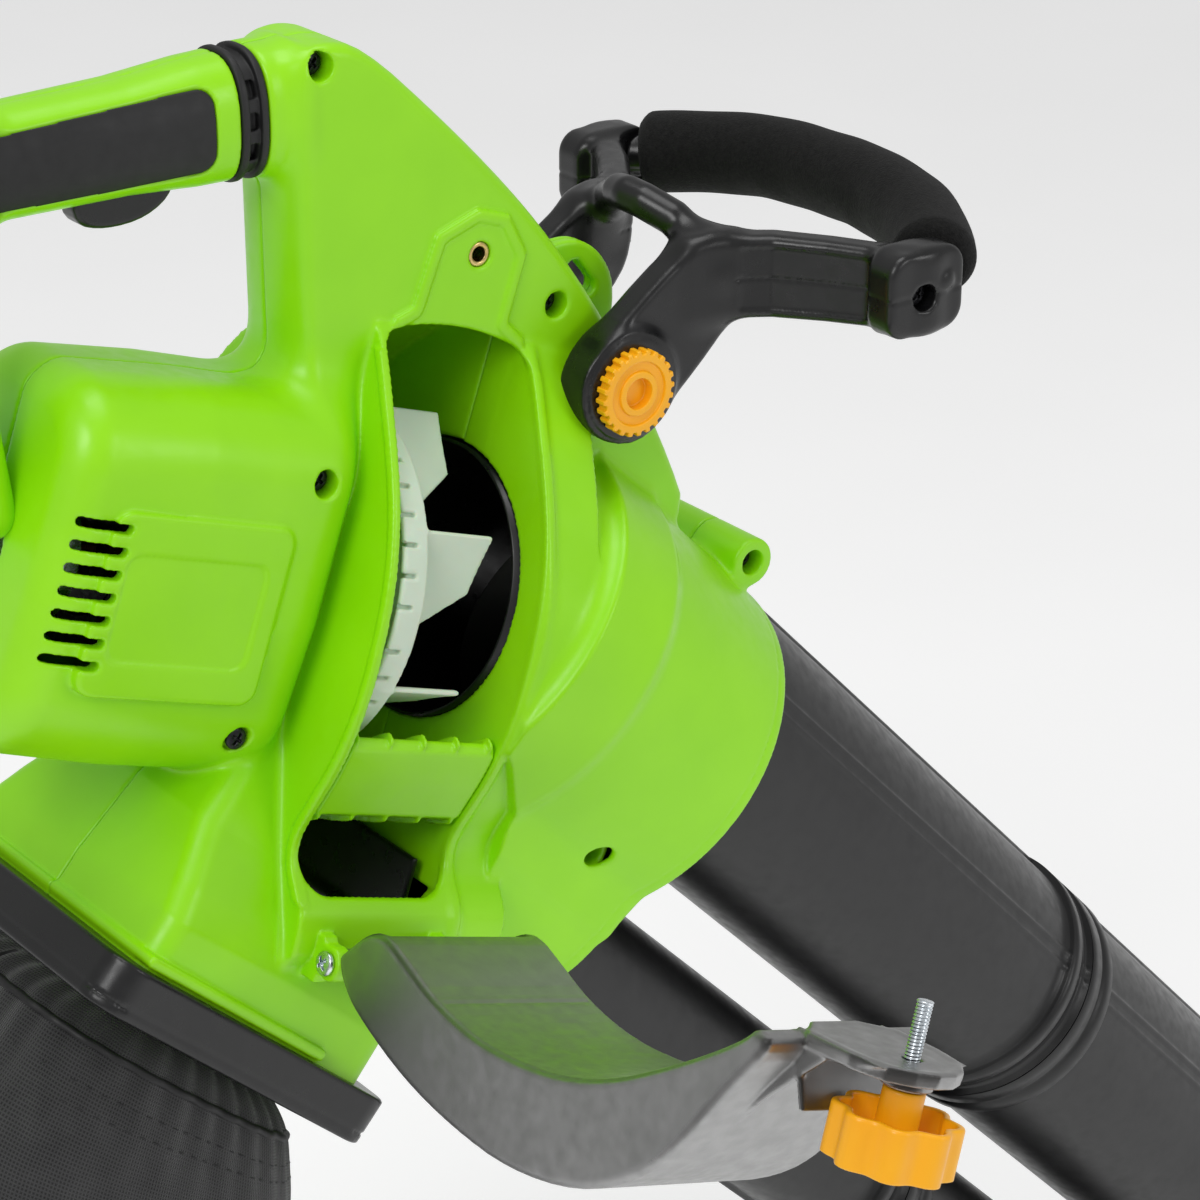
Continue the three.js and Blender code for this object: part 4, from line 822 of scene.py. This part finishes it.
def grip_section(x, y, z, grow=0.0):
    half = np.interp(x, [-165, -152, -130, -75, -45, -31], [25, 24, 21, 22, 24.6, 25])
    wide = np.interp(x, [-165, -152, -130, -75, -45, -31], [19, 19, 18, 19, 19, 19])
    ratio = (np.abs(y / (wide + grow)) ** 2.5 + np.abs((z - GRIP_Z) / (half + grow)) ** 2.5) ** 0.4
    return (ratio - 1) * wide


def rear_handle():
    def panel_area(x, z):
        return both(np.abs(x + 89) - 46.6, np.abs(z - 196.5) - 16.2, 7)

    def field(x, y, z):
        grip = both(grip_section(x, y, z), np.maximum(-160 - x, x + 31.4), 1)
        leg_x = np.interp(z, [62, 120, 170, 212], [-152, -158, -158, -155])
        leg_half = np.interp(z, [62, 120, 212], [18, 16, 19])
        leg = both(rounded_box(x - leg_x, y, 19.5, leg_half, 9), np.maximum(54 - z, z - 221), 12)
        body = smin(grip, leg, 14)
        body = np.maximum(body, x + 31.4)
        ay = np.abs(y)
        pocket = np.maximum(panel_area(x, z) - 0.25, 14.5 - ay)
        body = smax(body, -pocket, 0.5)
        slot = both(np.abs(x + 75) - 23, np.maximum(ay - 6.6, z - 190), 0.5)
        body = smax(body, -slot, 0.8)
        bore = np.maximum(np.hypot(x + 52, z - 200) - 5.4, 4 - y)
        body = np.maximum(body, -bore)
        seam = np.hypot(ay, np.maximum(-body, 0)) - 0.45
        return np.maximum(body, -seam)

    obj = mould("rear_handle_moulded", field, (-180, -22, 52), (-30, 22, 224), 0.95)
    finish(obj, GREEN, "machine", "green_plastic", "rear_handle")
    for name, side in (("right", -1), ("left", 1)):
        def panel(x, y, z, side=side):
            skin = grip_section(x, y, z, 0.35) + 0.025
            body = both(np.maximum(skin, 15 - side * y), panel_area(x, z), 0.9)
            return np.maximum(body, 5.3 - np.hypot(x + 52, z - 200)) if side > 0 else body

        low, high = ((-138, -21, 178), (-41, -14, 214)) if side < 0 else ((-138, 14, 178), (-41, 21, 214))
        obj = mould(f"grip_panel_{name}_moulded", panel, low, high, 0.7)
        finish(obj, RUBBER, "machine", "soft_grip", f"grip_panel_{name}")

    def damper(x, y, z):
        ring = grip_section(-31, y, z)
        body = both(ring - 0.7, np.abs(x + 25.2) - 5.9, 1)
        groove = np.maximum(np.abs(x + 25.2) - 2.6, -ring - 1.2)
        slot = both(np.abs((z - 196 + 42) % 12 - 6) - 3.4, np.abs(x + 25.2) - 2.1, 1)
        slot = np.maximum(slot, np.maximum(-ring - 4, np.abs(z - 196) - 20))
        body = smax(body, -groove, 0.5)
        return smax(body, -slot, 0.5)

    obj = mould("damper_moulded", damper, (-33, -22, 168), (-18, 22, 224), 0.6)
    finish(obj, RUBBER, "machine", "soft_grip", "handle_damper")

    trigger_line = smooth_outline([(-54, 187), (-53, 172), (-66, 163.5), (-84, 162.5), (-97, 167), (-97, 182),
                                   (-82, 179), (-66, 181), (-60, 187)], 2)

    def trigger(x, y, z):
        body = both(polygon(trigger_line, x, z), np.abs(y) - 6, 2.2)
        return np.maximum(body, 1.9 - np.hypot(x + 56, z - 181))

    obj = mould("trigger_moulded", trigger, (-99, -7, 160), (-50, 7, 190), 0.6)
    finish(obj, BLACK, "trigger", "black_plastic", "trigger")
    button = lathe("lock_button_turned", [(0, 9), (4.9, 9), (4.9, 22.2), (4.2, 22.9), (3, 23), (0, 22.7)],
                   (-52, 0, 200), (0, 1, 0))
    finish(button, BLACK, "lock_button", "black_plastic", "lock_on_button")
    ribs = [(4.2, 0), (11, 0), (11, 3.4), (10.2, 4)]
    for i in range(6):
        r = 8.6 - 0.28 * i
        ribs += [(r - 1.1, 5 + 4.6 * i), (r - 1.1, 7.2 + 4.6 * i), (r, 7.6 + 4.6 * i), (r, 9.2 + 4.6 * i)]
    ribs += [(7, 34), (4.2, 34), (4.2, 0)]
    gland = lathe("inlet_gland_moulded", ribs, (-178.4, 0, GRIP_Z - 6), (-1, 0, 0))
    finish(gland, RUBBER, "machine", "soft_grip", "power_inlet_gland")


# ------------------------------------------------------------------ tubes and wheels
# The locking band's section as (rise, distance) pairs: along a tube, and at a tube's end.
BAND_MID = [(0, 0), (2.6, 0.6), (3, 1.4), (3, 9.4), (2.2, 10), (2.2, 12), (3, 12.6), (3, 20.6), (2.6, 21.4),
            (0, 22)]
BAND_END = [(2.6, 0), (3, 0.8), (3, 9), (2.2, 9.6), (2.2, 11.6), (3, 12.2), (3, 20.6), (2.6, 21.4), (0, 22)]


def tube_piece(name, centre, radius, wall, low, high, band_at, fin_angle, node):
    """A blow-moulded tube section with its locking band, upper fin and two parting ribs."""
    steps = 360
    angles = np.linspace(0, 2 * math.pi, steps, endpoint=False)
    outer = [(radius - 0.8, low), (radius, low + 1)]
    rings = [low + 2 + i * (high - low - 4) / 40 for i in range(41)]
    for a, b in zip(rings, rings[1:] + [high - 1]):
        outer.append((radius, a))
        if a < band_at <= b:
            outer += [(radius + rise, band_at + along) for rise, along in BAND_MID]
    outer = sorted(outer, key=lambda p: p[1]) if band_at > low + 2 else outer
    if band_at <= low + 2:
        outer = [(radius + rise, low + along) for rise, along in BAND_END]
        outer += [(radius, a) for a in rings if a > low + 24]
    if outer[-1][1] < high - 0.5:
        outer += [(radius, high - 1), (radius - 0.6, high)]
    profile = outer + [(radius - wall, high), (radius - wall, low), outer[0]]
    points = []
    for r, d in profile:
        on_skin = abs(r - radius) < 0.05
        off = np.abs((angles - fin_angle + math.pi) % (2 * math.pi) - math.pi) * radius
        fin = 3.2 * np.clip(1 - off / 2.2, 0, 1)
        seam = 0
        for offset in (1.05, 1.17):
            gap = np.abs((angles - fin_angle - offset + math.pi) % (2 * math.pi) - math.pi) * radius
            seam = seam + 0.9 * np.clip(1.6 - gap, 0, 1)
        rr = r + (np.clip(fin, 0, 2.6) + seam if on_skin else 0)
        rr = rr * np.ones(steps)
        points.append(np.stack([np.full(steps, d), rr * np.cos(angles), centre + rr * np.sin(angles)], 1))
    obj = mesh_object(name, np.concatenate(points), grid_faces(len(profile), steps), TUBES)
    return finish(obj, TUBE_BLACK, "machine", "tube_plastic", node)


def tubes_and_wheels():
    top = math.radians(90)
    tube_piece("suction_tube_upper_moulded", BIG_N, BIG_R, 2.6, 140, 520, 498, top, "suction_tube_upper")
    tube_piece("suction_tube_lower_moulded", BIG_N, BIG_R, 2.6, 520.3, 840, 520.3, top, "suction_tube_lower")
    tube_piece("blow_tube_upper_moulded", SMALL_N, SMALL_R, 2.4, 140, 520, 498, -top, "blow_tube_upper")
    tube_piece("blow_tube_lower_moulded", SMALL_N, SMALL_R, 2.4, 520.3, 840, 520.3, -top, "blow_tube_lower")

    def carrier(d, y, n):
        r = np.hypot(y, n - SMALL_N)
        clip = both(r - 40, np.abs(d - 735) - 20, 1.5)
        foot = both(polygon([(717, -88), (753, -88), (744, -128), (726, -128)], d, n), np.abs(y) - 29, 4)
        body = smin(clip, foot, 5)
        body = np.maximum(body, 36.7 - r)
        return np.maximum(body, 3.3 - np.hypot(d - 735, n + 120))

    obj = mould("wheel_carrier_moulded", carrier, (712, -43, -133), (758, 43, -25), 0.9, TUBES)
    finish(obj, BLACK, "machine", "black_plastic", "wheel_carrier")
    profile = [(0, -57), (2.4, -57), (3, -56.2), (3, 56.2), (2.4, 57), (0, 57)]
    axle = lathe("axle_turned", profile, (735, 0, -120), (0, 1, 0), TUBES)
    finish(axle, ZINC, "machine", "steel", "axle")
    for name, side in (("left", 1), ("right", -1)):
        def wheel(d, y, n, side=side):
            v = side * y
            px, pn = d - 735, n + 120
            r = np.hypot(px, pn)
            a = np.arctan2(pn, px)
            tread = 0.8 * np.clip(0.5 + 2 * np.cos(36 * a), 0, 1) * (np.abs(np.abs(v - 44.5) - 4) < 3)
            body = both(r - 33.8 + 0.8 - tread, np.abs(v - 44.5) - 8.4, 3)
            dish = both(np.abs(r - 18) - 8.5, 49.5 - v, 2)
            body = smax(body, -dish, 1)
            reach = np.maximum(np.abs(r - 18) - 9, np.abs(v - 45) - 7)
            spokes = np.maximum(np.abs(np.sin(2.5 * a)) * r / 2.5 - 1.6, reach)
            body = smin(body, spokes, 1)
            return np.maximum(body, 3.4 - r)

        low, high = ((700, 35, -155), (770, 54, -85)) if side > 0 else ((700, -54, -155), (770, -35, -85))
        obj = mould(f"wheel_{name}_moulded", wheel, low, high, 0.8, TUBES)
        finish(obj, BLACK, f"{name}_wheel", "black_plastic", f"wheel_{name}")


# ------------------------------------------------------------------ bag and its frame
def bag_ring(k):
    """Centre x and z, tilt, half depth and half width of the bag at k from 0 to 1."""
    keys = [
        (0, -92, -171, 43.5, 60, 60),
        (0.03, -97, -176, 43.5, 75, 71),
        (0.14, -122, -214, 34, 91, 91),
        (0.34, -146, -290, 18, 102, 106),
        (0.58, -156, -380, 8, 104, 110),
        (0.8, -158, -460, 2, 96, 104),
        (0.94, -158, -508, 0, 77, 87),
        (1, -158, -521, 0, 48, 56),
    ]
    table = np.array(keys)
    return [float(np.interp(k, table[:, 0], table[:, i])) for i in range(1, 6)]


def bag():
    def ring(s, y, t):
        outer = both(rounded_box(s - 50, y, 83, 80, 15), np.abs(t - 174.5) - 10.5, 1.6)
        inner = np.maximum(rounded_box(s - 50, y, 79, 76, 12), 169 - t)
        body = np.maximum(outer, -rounded_box(s - 50, y, 65, 62, 8))
        body = smax(body, -inner, 0.6)
        groove = np.maximum(np.abs(t - 180.2) - 0.6, -rounded_box(s - 50, y, 83, 80, 15) - 0.9)
        return np.maximum(body, -groove)

    flip = BAG @ np.diag([1, 1, -1])
    obj = mould("bag_frame_moulded", ring, (-34, -82, 162), (134, 82, 187), 1.0, flip)
    obj.data.flip_normals()
    finish(obj, BLACK, "machine", "black_plastic", "bag_frame")

    rows, around = ((240, 480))
    k = np.linspace(0, 1, rows)
    softened = np.array([bag_ring(v) for v in np.linspace(0, 1, 400)])
    kernel = np.hanning(31) / np.hanning(31).sum()
    padded = np.pad(softened, ((15, 15), (0, 0)), mode="reflect", reflect_type="odd")
    smoothed = np.stack([np.convolve(padded[:, i], kernel, "valid") for i in range(5)], 1)
    values = np.stack([np.interp(k, np.linspace(0, 1, 400), smoothed[:, i]) for i in range(5)], 1)
    a = np.linspace(0, 2 * math.pi, around, endpoint=False)
    points, uvs = [], []
    for row in range(rows):
        x, z, tilt, depth, width = values[row]
        v = k[row]
        power = 2.6 + 1.2 * math.sin(math.pi * v)
        c, s = np.cos(a), np.sin(a)
        reach = (np.abs(c) ** power + np.abs(s) ** power) ** (-1 / power)
        gather = math.exp(-v * 14)
        slack = math.sin(math.pi * min(1, v * 1.15)) ** 1.2
        folds = 1.6 * gather * np.sin(34 * a + 0.6 * np.sin(5 * a))
        folds = folds + slack * (2.6 * np.sin(5 * a + 7 * v + 1.3) + 1.7 * np.sin(9 * a - 9 * v + 0.4)
                                 + 1.1 * np.sin(3 * a + 19 * v) - 3.2)
        crease = np.exp(-((v - 0.2 - 0.05 * np.sin(2 * a)) / 0.035) ** 2) * 2.4
        crease = crease + np.exp(-((v - 0.74 - 0.06 * np.sin(3 * a + 1)) / 0.03) ** 2) * 2.8
        shrink = (folds - crease) * (0 if v == 0 else 1)
        pa = (depth + shrink) * reach * c
        pb = (width + shrink) * reach * s
        ct, st = math.cos(math.radians(tilt)), math.sin(math.radians(tilt))
        points.append(np.stack([x + pa * ct, pb, z - pa * st], 1))
        uvs.append(np.stack([a / (2 * math.pi) * 0.62, np.full(around, v * 0.46)], 1))
    points = np.concatenate(points)
    last = (rows - 1) * around
    base = [
        [last + i, last + i + 1, last + (around - i - 2) % around, last + (around - i - 1) % around]
        for i in range(around // 2 - 1)
    ]
    faces = np.concatenate([grid_faces(rows, around), np.array(base)])
    cloth = mesh_object("bag_cloth", points, faces)
    layer = cloth.data.uv_layers.new(name="weave")
    corner = np.empty(len(cloth.data.loops), np.int32)
    cloth.data.loops.foreach_get("vertex_index", corner)
    flat = np.concatenate(uvs)[corner]
    layer.data.foreach_set("uv", flat.astype(np.float32).ravel())
    thick = cloth.modifiers.new("cloth_thickness", "SOLIDIFY")
    thick.thickness = 0.0008
    finish(cloth, FABRIC, "machine", "fabric", "collecting_bag")

    cords = []
    for number, v in enumerate((0.045, 0.5)):
        row = int(v * (rows - 1))
        if number == 0:
            path = points[row * around : (row + 1) * around : 4]
            cords.append(sweep("bag_piping_top", path, 2.1, True))
    for number, angle in enumerate((0.0, math.pi)):
        column = int(angle / (2 * math.pi) * around)
        path = points[column::around][3 : rows - 3 : 3]
        cords.append(sweep(f"bag_piping_{'front' if number == 0 else 'rear'}", path, 1.8, False))
    for piping in cords:
        finish(piping, RUBBER, "machine", "fabric")
    stitches = []
    for lift in (0.075, 0.088):
        row = int(lift * (rows - 1))
        path = points[row * around : (row + 1) * around]
        for i in range(0, around, 6):
            p, q = path[i], path[(i + 3) % around]
            out = np.array([p[0] + 122, p[1], 0])
            out = out / max(1e-6, np.linalg.norm(out))
            stitches.append((p + out * 0.7, q + out * 0.7))
    thread_mesh = stitch_mesh("bag_stitching", stitches, 0.45)
    finish(thread_mesh, RUBBER, "machine", "fabric")
    waist = points[rows // 2 * around : (rows // 2 + 1) * around]
    girth = float(np.linalg.norm(np.diff(waist, axis=0), axis=1).sum())
    width = girth * MM


def sweep(name, path, radius, closed, sides=10):
    path = np.asarray(path)
    count = len(path)
    points, faces = [], []
    for i in range(count):
        before = path[(i - 1) % count] if closed or i else path[0]
        after = path[(i + 1) % count] if closed or i < count - 1 else path[-1]
        ahead = after - before
        ahead /= np.linalg.norm(ahead)
        helper = np.array([0, 0, 1.0]) if abs(ahead[2]) < 0.9 else np.array([0, 1.0, 0])
        side = np.cross(ahead, helper)
        side /= np.linalg.norm(side)
        other = np.cross(ahead, side)
        for j in range(sides):
            t = 2 * math.pi * j / sides
            points.append(path[i] + radius * (side * math.cos(t) + other * math.sin(t)))
    for i in range(count if closed else count - 1):
        for j in range(sides):
            m, n = (i + 1) % count, (j + 1) % sides
            faces.append([i * sides + j, i * sides + n, m * sides + n, m * sides + j])
    if not closed:
        faces.append(list(range(sides)))
        faces.append(list(range((count - 1) * sides, count * sides))[::-1])
    return mesh_object(name, points, faces)


def stitch_mesh(name, segments, radius):
    points, faces = [], []
    for p, q in segments:
        ahead = (q - p) / max(1e-6, np.linalg.norm(q - p))
        side = np.cross(ahead, [0, 0, 1.0])
        side /= max(1e-6, np.linalg.norm(side))
        other = np.cross(ahead, side)
        start = len(points)
        for end, scale in ((p, 0.5), (p + (q - p) * 0.2, 1), (q - (q - p) * 0.2, 1), (q, 0.5)):
            for j in range(6):
                t = math.pi * j / 3
                points.append(end + radius * scale * (side * math.cos(t) + other * math.sin(t)))
        for r in range(3):
            for j in range(6):
                n = (j + 1) % 6
                low, high = start + r * 6, start + r * 6 + 6
                faces.append((low + j, low + n, high + n, high + j))
        faces.append(tuple(start + j for j in range(6)))
        faces.append(tuple(start + 18 + j for j in reversed(range(6))))
    return mesh_object(name, points, faces)


# ------------------------------------------------------------------ knob, screws and selector
def hardware():
    def knob(u, y, w):
        pu, pw = u - INSERT_U, w - INSERT_W
        r, a = np.hypot(pu, pw), np.arctan2(pw, pu)
        lobe = 23.4 - 3.1 * (0.5 - 0.5 * np.cos(8 * a)) ** 1.3
        cup = both(r - lobe, np.maximum(-70.7 - y, y + 44), 1.3)
        inside = both(r - lobe + 3, -66.5 - y, 1.5)
        cup = smax(cup, -inside, 1.0)
        stem = both(r - 7.6, np.maximum(-68 - y, y + 35.1), 0.8)
        reach = np.maximum(r - 20.5, np.maximum(-68 - y, y + 56))
        web = both(np.minimum(np.abs(pu), np.abs(pw)) - 1.1, reach, 0.3)
        return np.maximum(smin(smin(cup, stem, 1.5), web, 1), np.maximum(3.3 - r, -63 - y))

    obj = mould("flap_knob_moulded", knob, (3, -72, 118), (52, -34, 166), 0.55, FLAP, FLAP_AT)
    finish(obj, YELLOW, "flap_knob", "yellow_plastic", "flap_knob")
    obj = thread("flap_screw_threaded", (INSERT_U, -56.9, INSERT_W), (0, 1, 0), 3, 52.9, 1.25, FLAP, FLAP_AT)
    finish(obj, ZINC, "flap_screw", "steel", "flap_knob_screw")
    profile = [(3.02, -31), (3.1, -30.8), (3.1, -26.5), (3.02, -26.3)]
    obj = lathe("thread_lock_patch", profile, (INSERT_U, 0, INSERT_W), (0, 1, 0), FLAP, FLAP_AT)
    patch = plastic("thread_lock", (0.05, 0.16, 0.5), (0.08, 0.22, 0.6), 0.5)
    finish(obj, patch, "flap_screw", "steel")
    for name, start, way in (("rear", -4.4, -1), ("front", 59.4, 1)):
        screw_head(f"hinge_screw_{name}_turned", (start, HINGE[1], HINGE[2]), (way, 0, 0), 5, 3, CORE, ZINC,
                   (f"flap_hinge_screw_{name}",), (1.95, 22))
    for name, (px, pz, face) in WELLS.items():
        screw_head(f"housing_screw_{name}_turned", (px, face + 9.4, pz), (0, -1, 0), 4.6, 2.6, UPRIGHT,
                   BLACK_STEEL, (f"housing_screw_{name}",), (2, 6))
    profile = [(3.15, -21.6), (3.5, -22), (4.9, -22), (5.1, -21.6), (5.1, -17), (4.7, -16.6), (4.7, -15.4),
               (5.1, -15), (5.1, -10.2), (3.15, -10.2), (3.15, -21.6)]
    sleeve = lathe("threaded_insert_turned", profile, (INSERT_U, 0, INSERT_W), (0, 1, 0), CORE)
    finish(sleeve, BRASS, "machine", "brass", "threaded_insert")

    def vane(u, y, w):
        blade = both(np.abs(u - 57) - 1.5, np.maximum(np.abs(y) - 49.8, np.maximum(-140 - w, w + 105)), 1)
        shaft = both(np.hypot(u - 57, w + 140) - 3.9, np.maximum(-50 - y, y - 87), 0.5)
        return smin(blade, shaft, 1.5)

    obj = mould("diverter_vane_moulded", vane, (51, -51, -146), (63, 88, -103), 0.7, CORE)
    finish(obj, BLACK, "mode_selector", "black_plastic", "diverter_vane")

    def lever(u, y, w):
        hub = both(np.hypot(u - 57, w + 140) - 13, np.maximum(78.4 - y, y - 93.2), 1.6)
        bar = both(rounded_box(u - 57, w + 121, 5.4, 19, 5), np.abs(y - 89.6) - 3.5, 1.4)
        body = smin(hub, bar, 2)
        return np.maximum(body, np.maximum(4.3 - np.hypot(u - 57, w + 140), y - 87.3))

    obj = mould("mode_lever_moulded", lever, (43, 77, -154), (71, 95, -100), 0.6, CORE)
    finish(obj, BLACK, "mode_selector", "black_plastic", "mode_lever")


def inner_nodes():
    """The pieces inside the housing keep their CAD shape and get real finishes."""
    looks = {"rotor_core": BLACK_STEEL, "motor_stator": BLACK_STEEL, "commutator": COPPER,
             "cooling_fan": BLACK, "carbon_brush_left": BLACK_STEEL, "carbon_brush_right": BLACK_STEEL}
    for name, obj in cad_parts.items():
        obj.data.materials.clear()
        obj.data.materials.append(looks.get(name, ZINC))


inner_nodes()
intake_liner()
inner_parts()
flap()
front_handle()
rear_handle()
tubes_and_wheels()
bag()
hardware()
# ------------------------------------------------------------------ studio
def studio():
    scene = bpy.context.scene
    half = 9000
    corners = [(-half, -half, 0), (half, -half, 0), (half, half, 0), (-half, half, 0)]
    floor = mesh_object("studio_floor", corners, [[0, 1, 2, 3]], offset=(0, 0, -702))
    m = Nodes("studio_paper")
    m.set(Roughness=0.9)
    m.colour(m.ramp(m.noise(3, 2), 0, 1), (0.93, 0.93, 0.93), (0.95, 0.95, 0.95))
    m.bump((m.noise(400, 2), 0.05, 0.0002))
    m.set(Emission_Color=(1, 1, 1, 1), Emission_Strength=0.22)
    floor.data.materials.append(m.material)
    world = bpy.data.worlds.new("studio")
    scene.world = world
    world.use_nodes = True
    world.node_tree.nodes["Background"].inputs["Color"].default_value = (1, 1, 1, 1)
    world.node_tree.nodes["Background"].inputs["Strength"].default_value = 0.5
    scene.view_settings.view_transform = "Standard"
    centre = Vector((0.12, -0.05, -0.2))

    def light(name, where, size, energy, size_y=None):
        data = bpy.data.lights.new(name, "AREA")
        data.shape = "RECTANGLE"
        data.size, data.size_y = size, size_y or size
        data.energy = energy
        obj = bpy.data.objects.new(name, data)
        scene.collection.objects.link(obj)
        obj.location = where
        obj.rotation_euler = (centre - Vector(where)).to_track_quat("-Z", "Y").to_euler()

    light("key", (-1.7, -1.0, 1.5), 1.0, 21)
    light("top", (0.3, -0.1, 2.2), 1.4, 20)
    light("right", (1.2, -2.0, 0.6), 0.7, 7)
    camera_data = bpy.data.cameras.new("camera")
    camera_data.lens, camera_data.sensor_width = 105, 36
    camera = bpy.data.objects.new("camera", camera_data)
    scene.collection.objects.link(camera)
    camera.location = (-0.6246, -1.0903, 0.3862)
    back = Vector((-0.5589, -0.7153, 0.4195))
    camera.rotation_euler = back.to_track_quat("Z", "Y").to_euler()
    scene.camera = camera


studio()
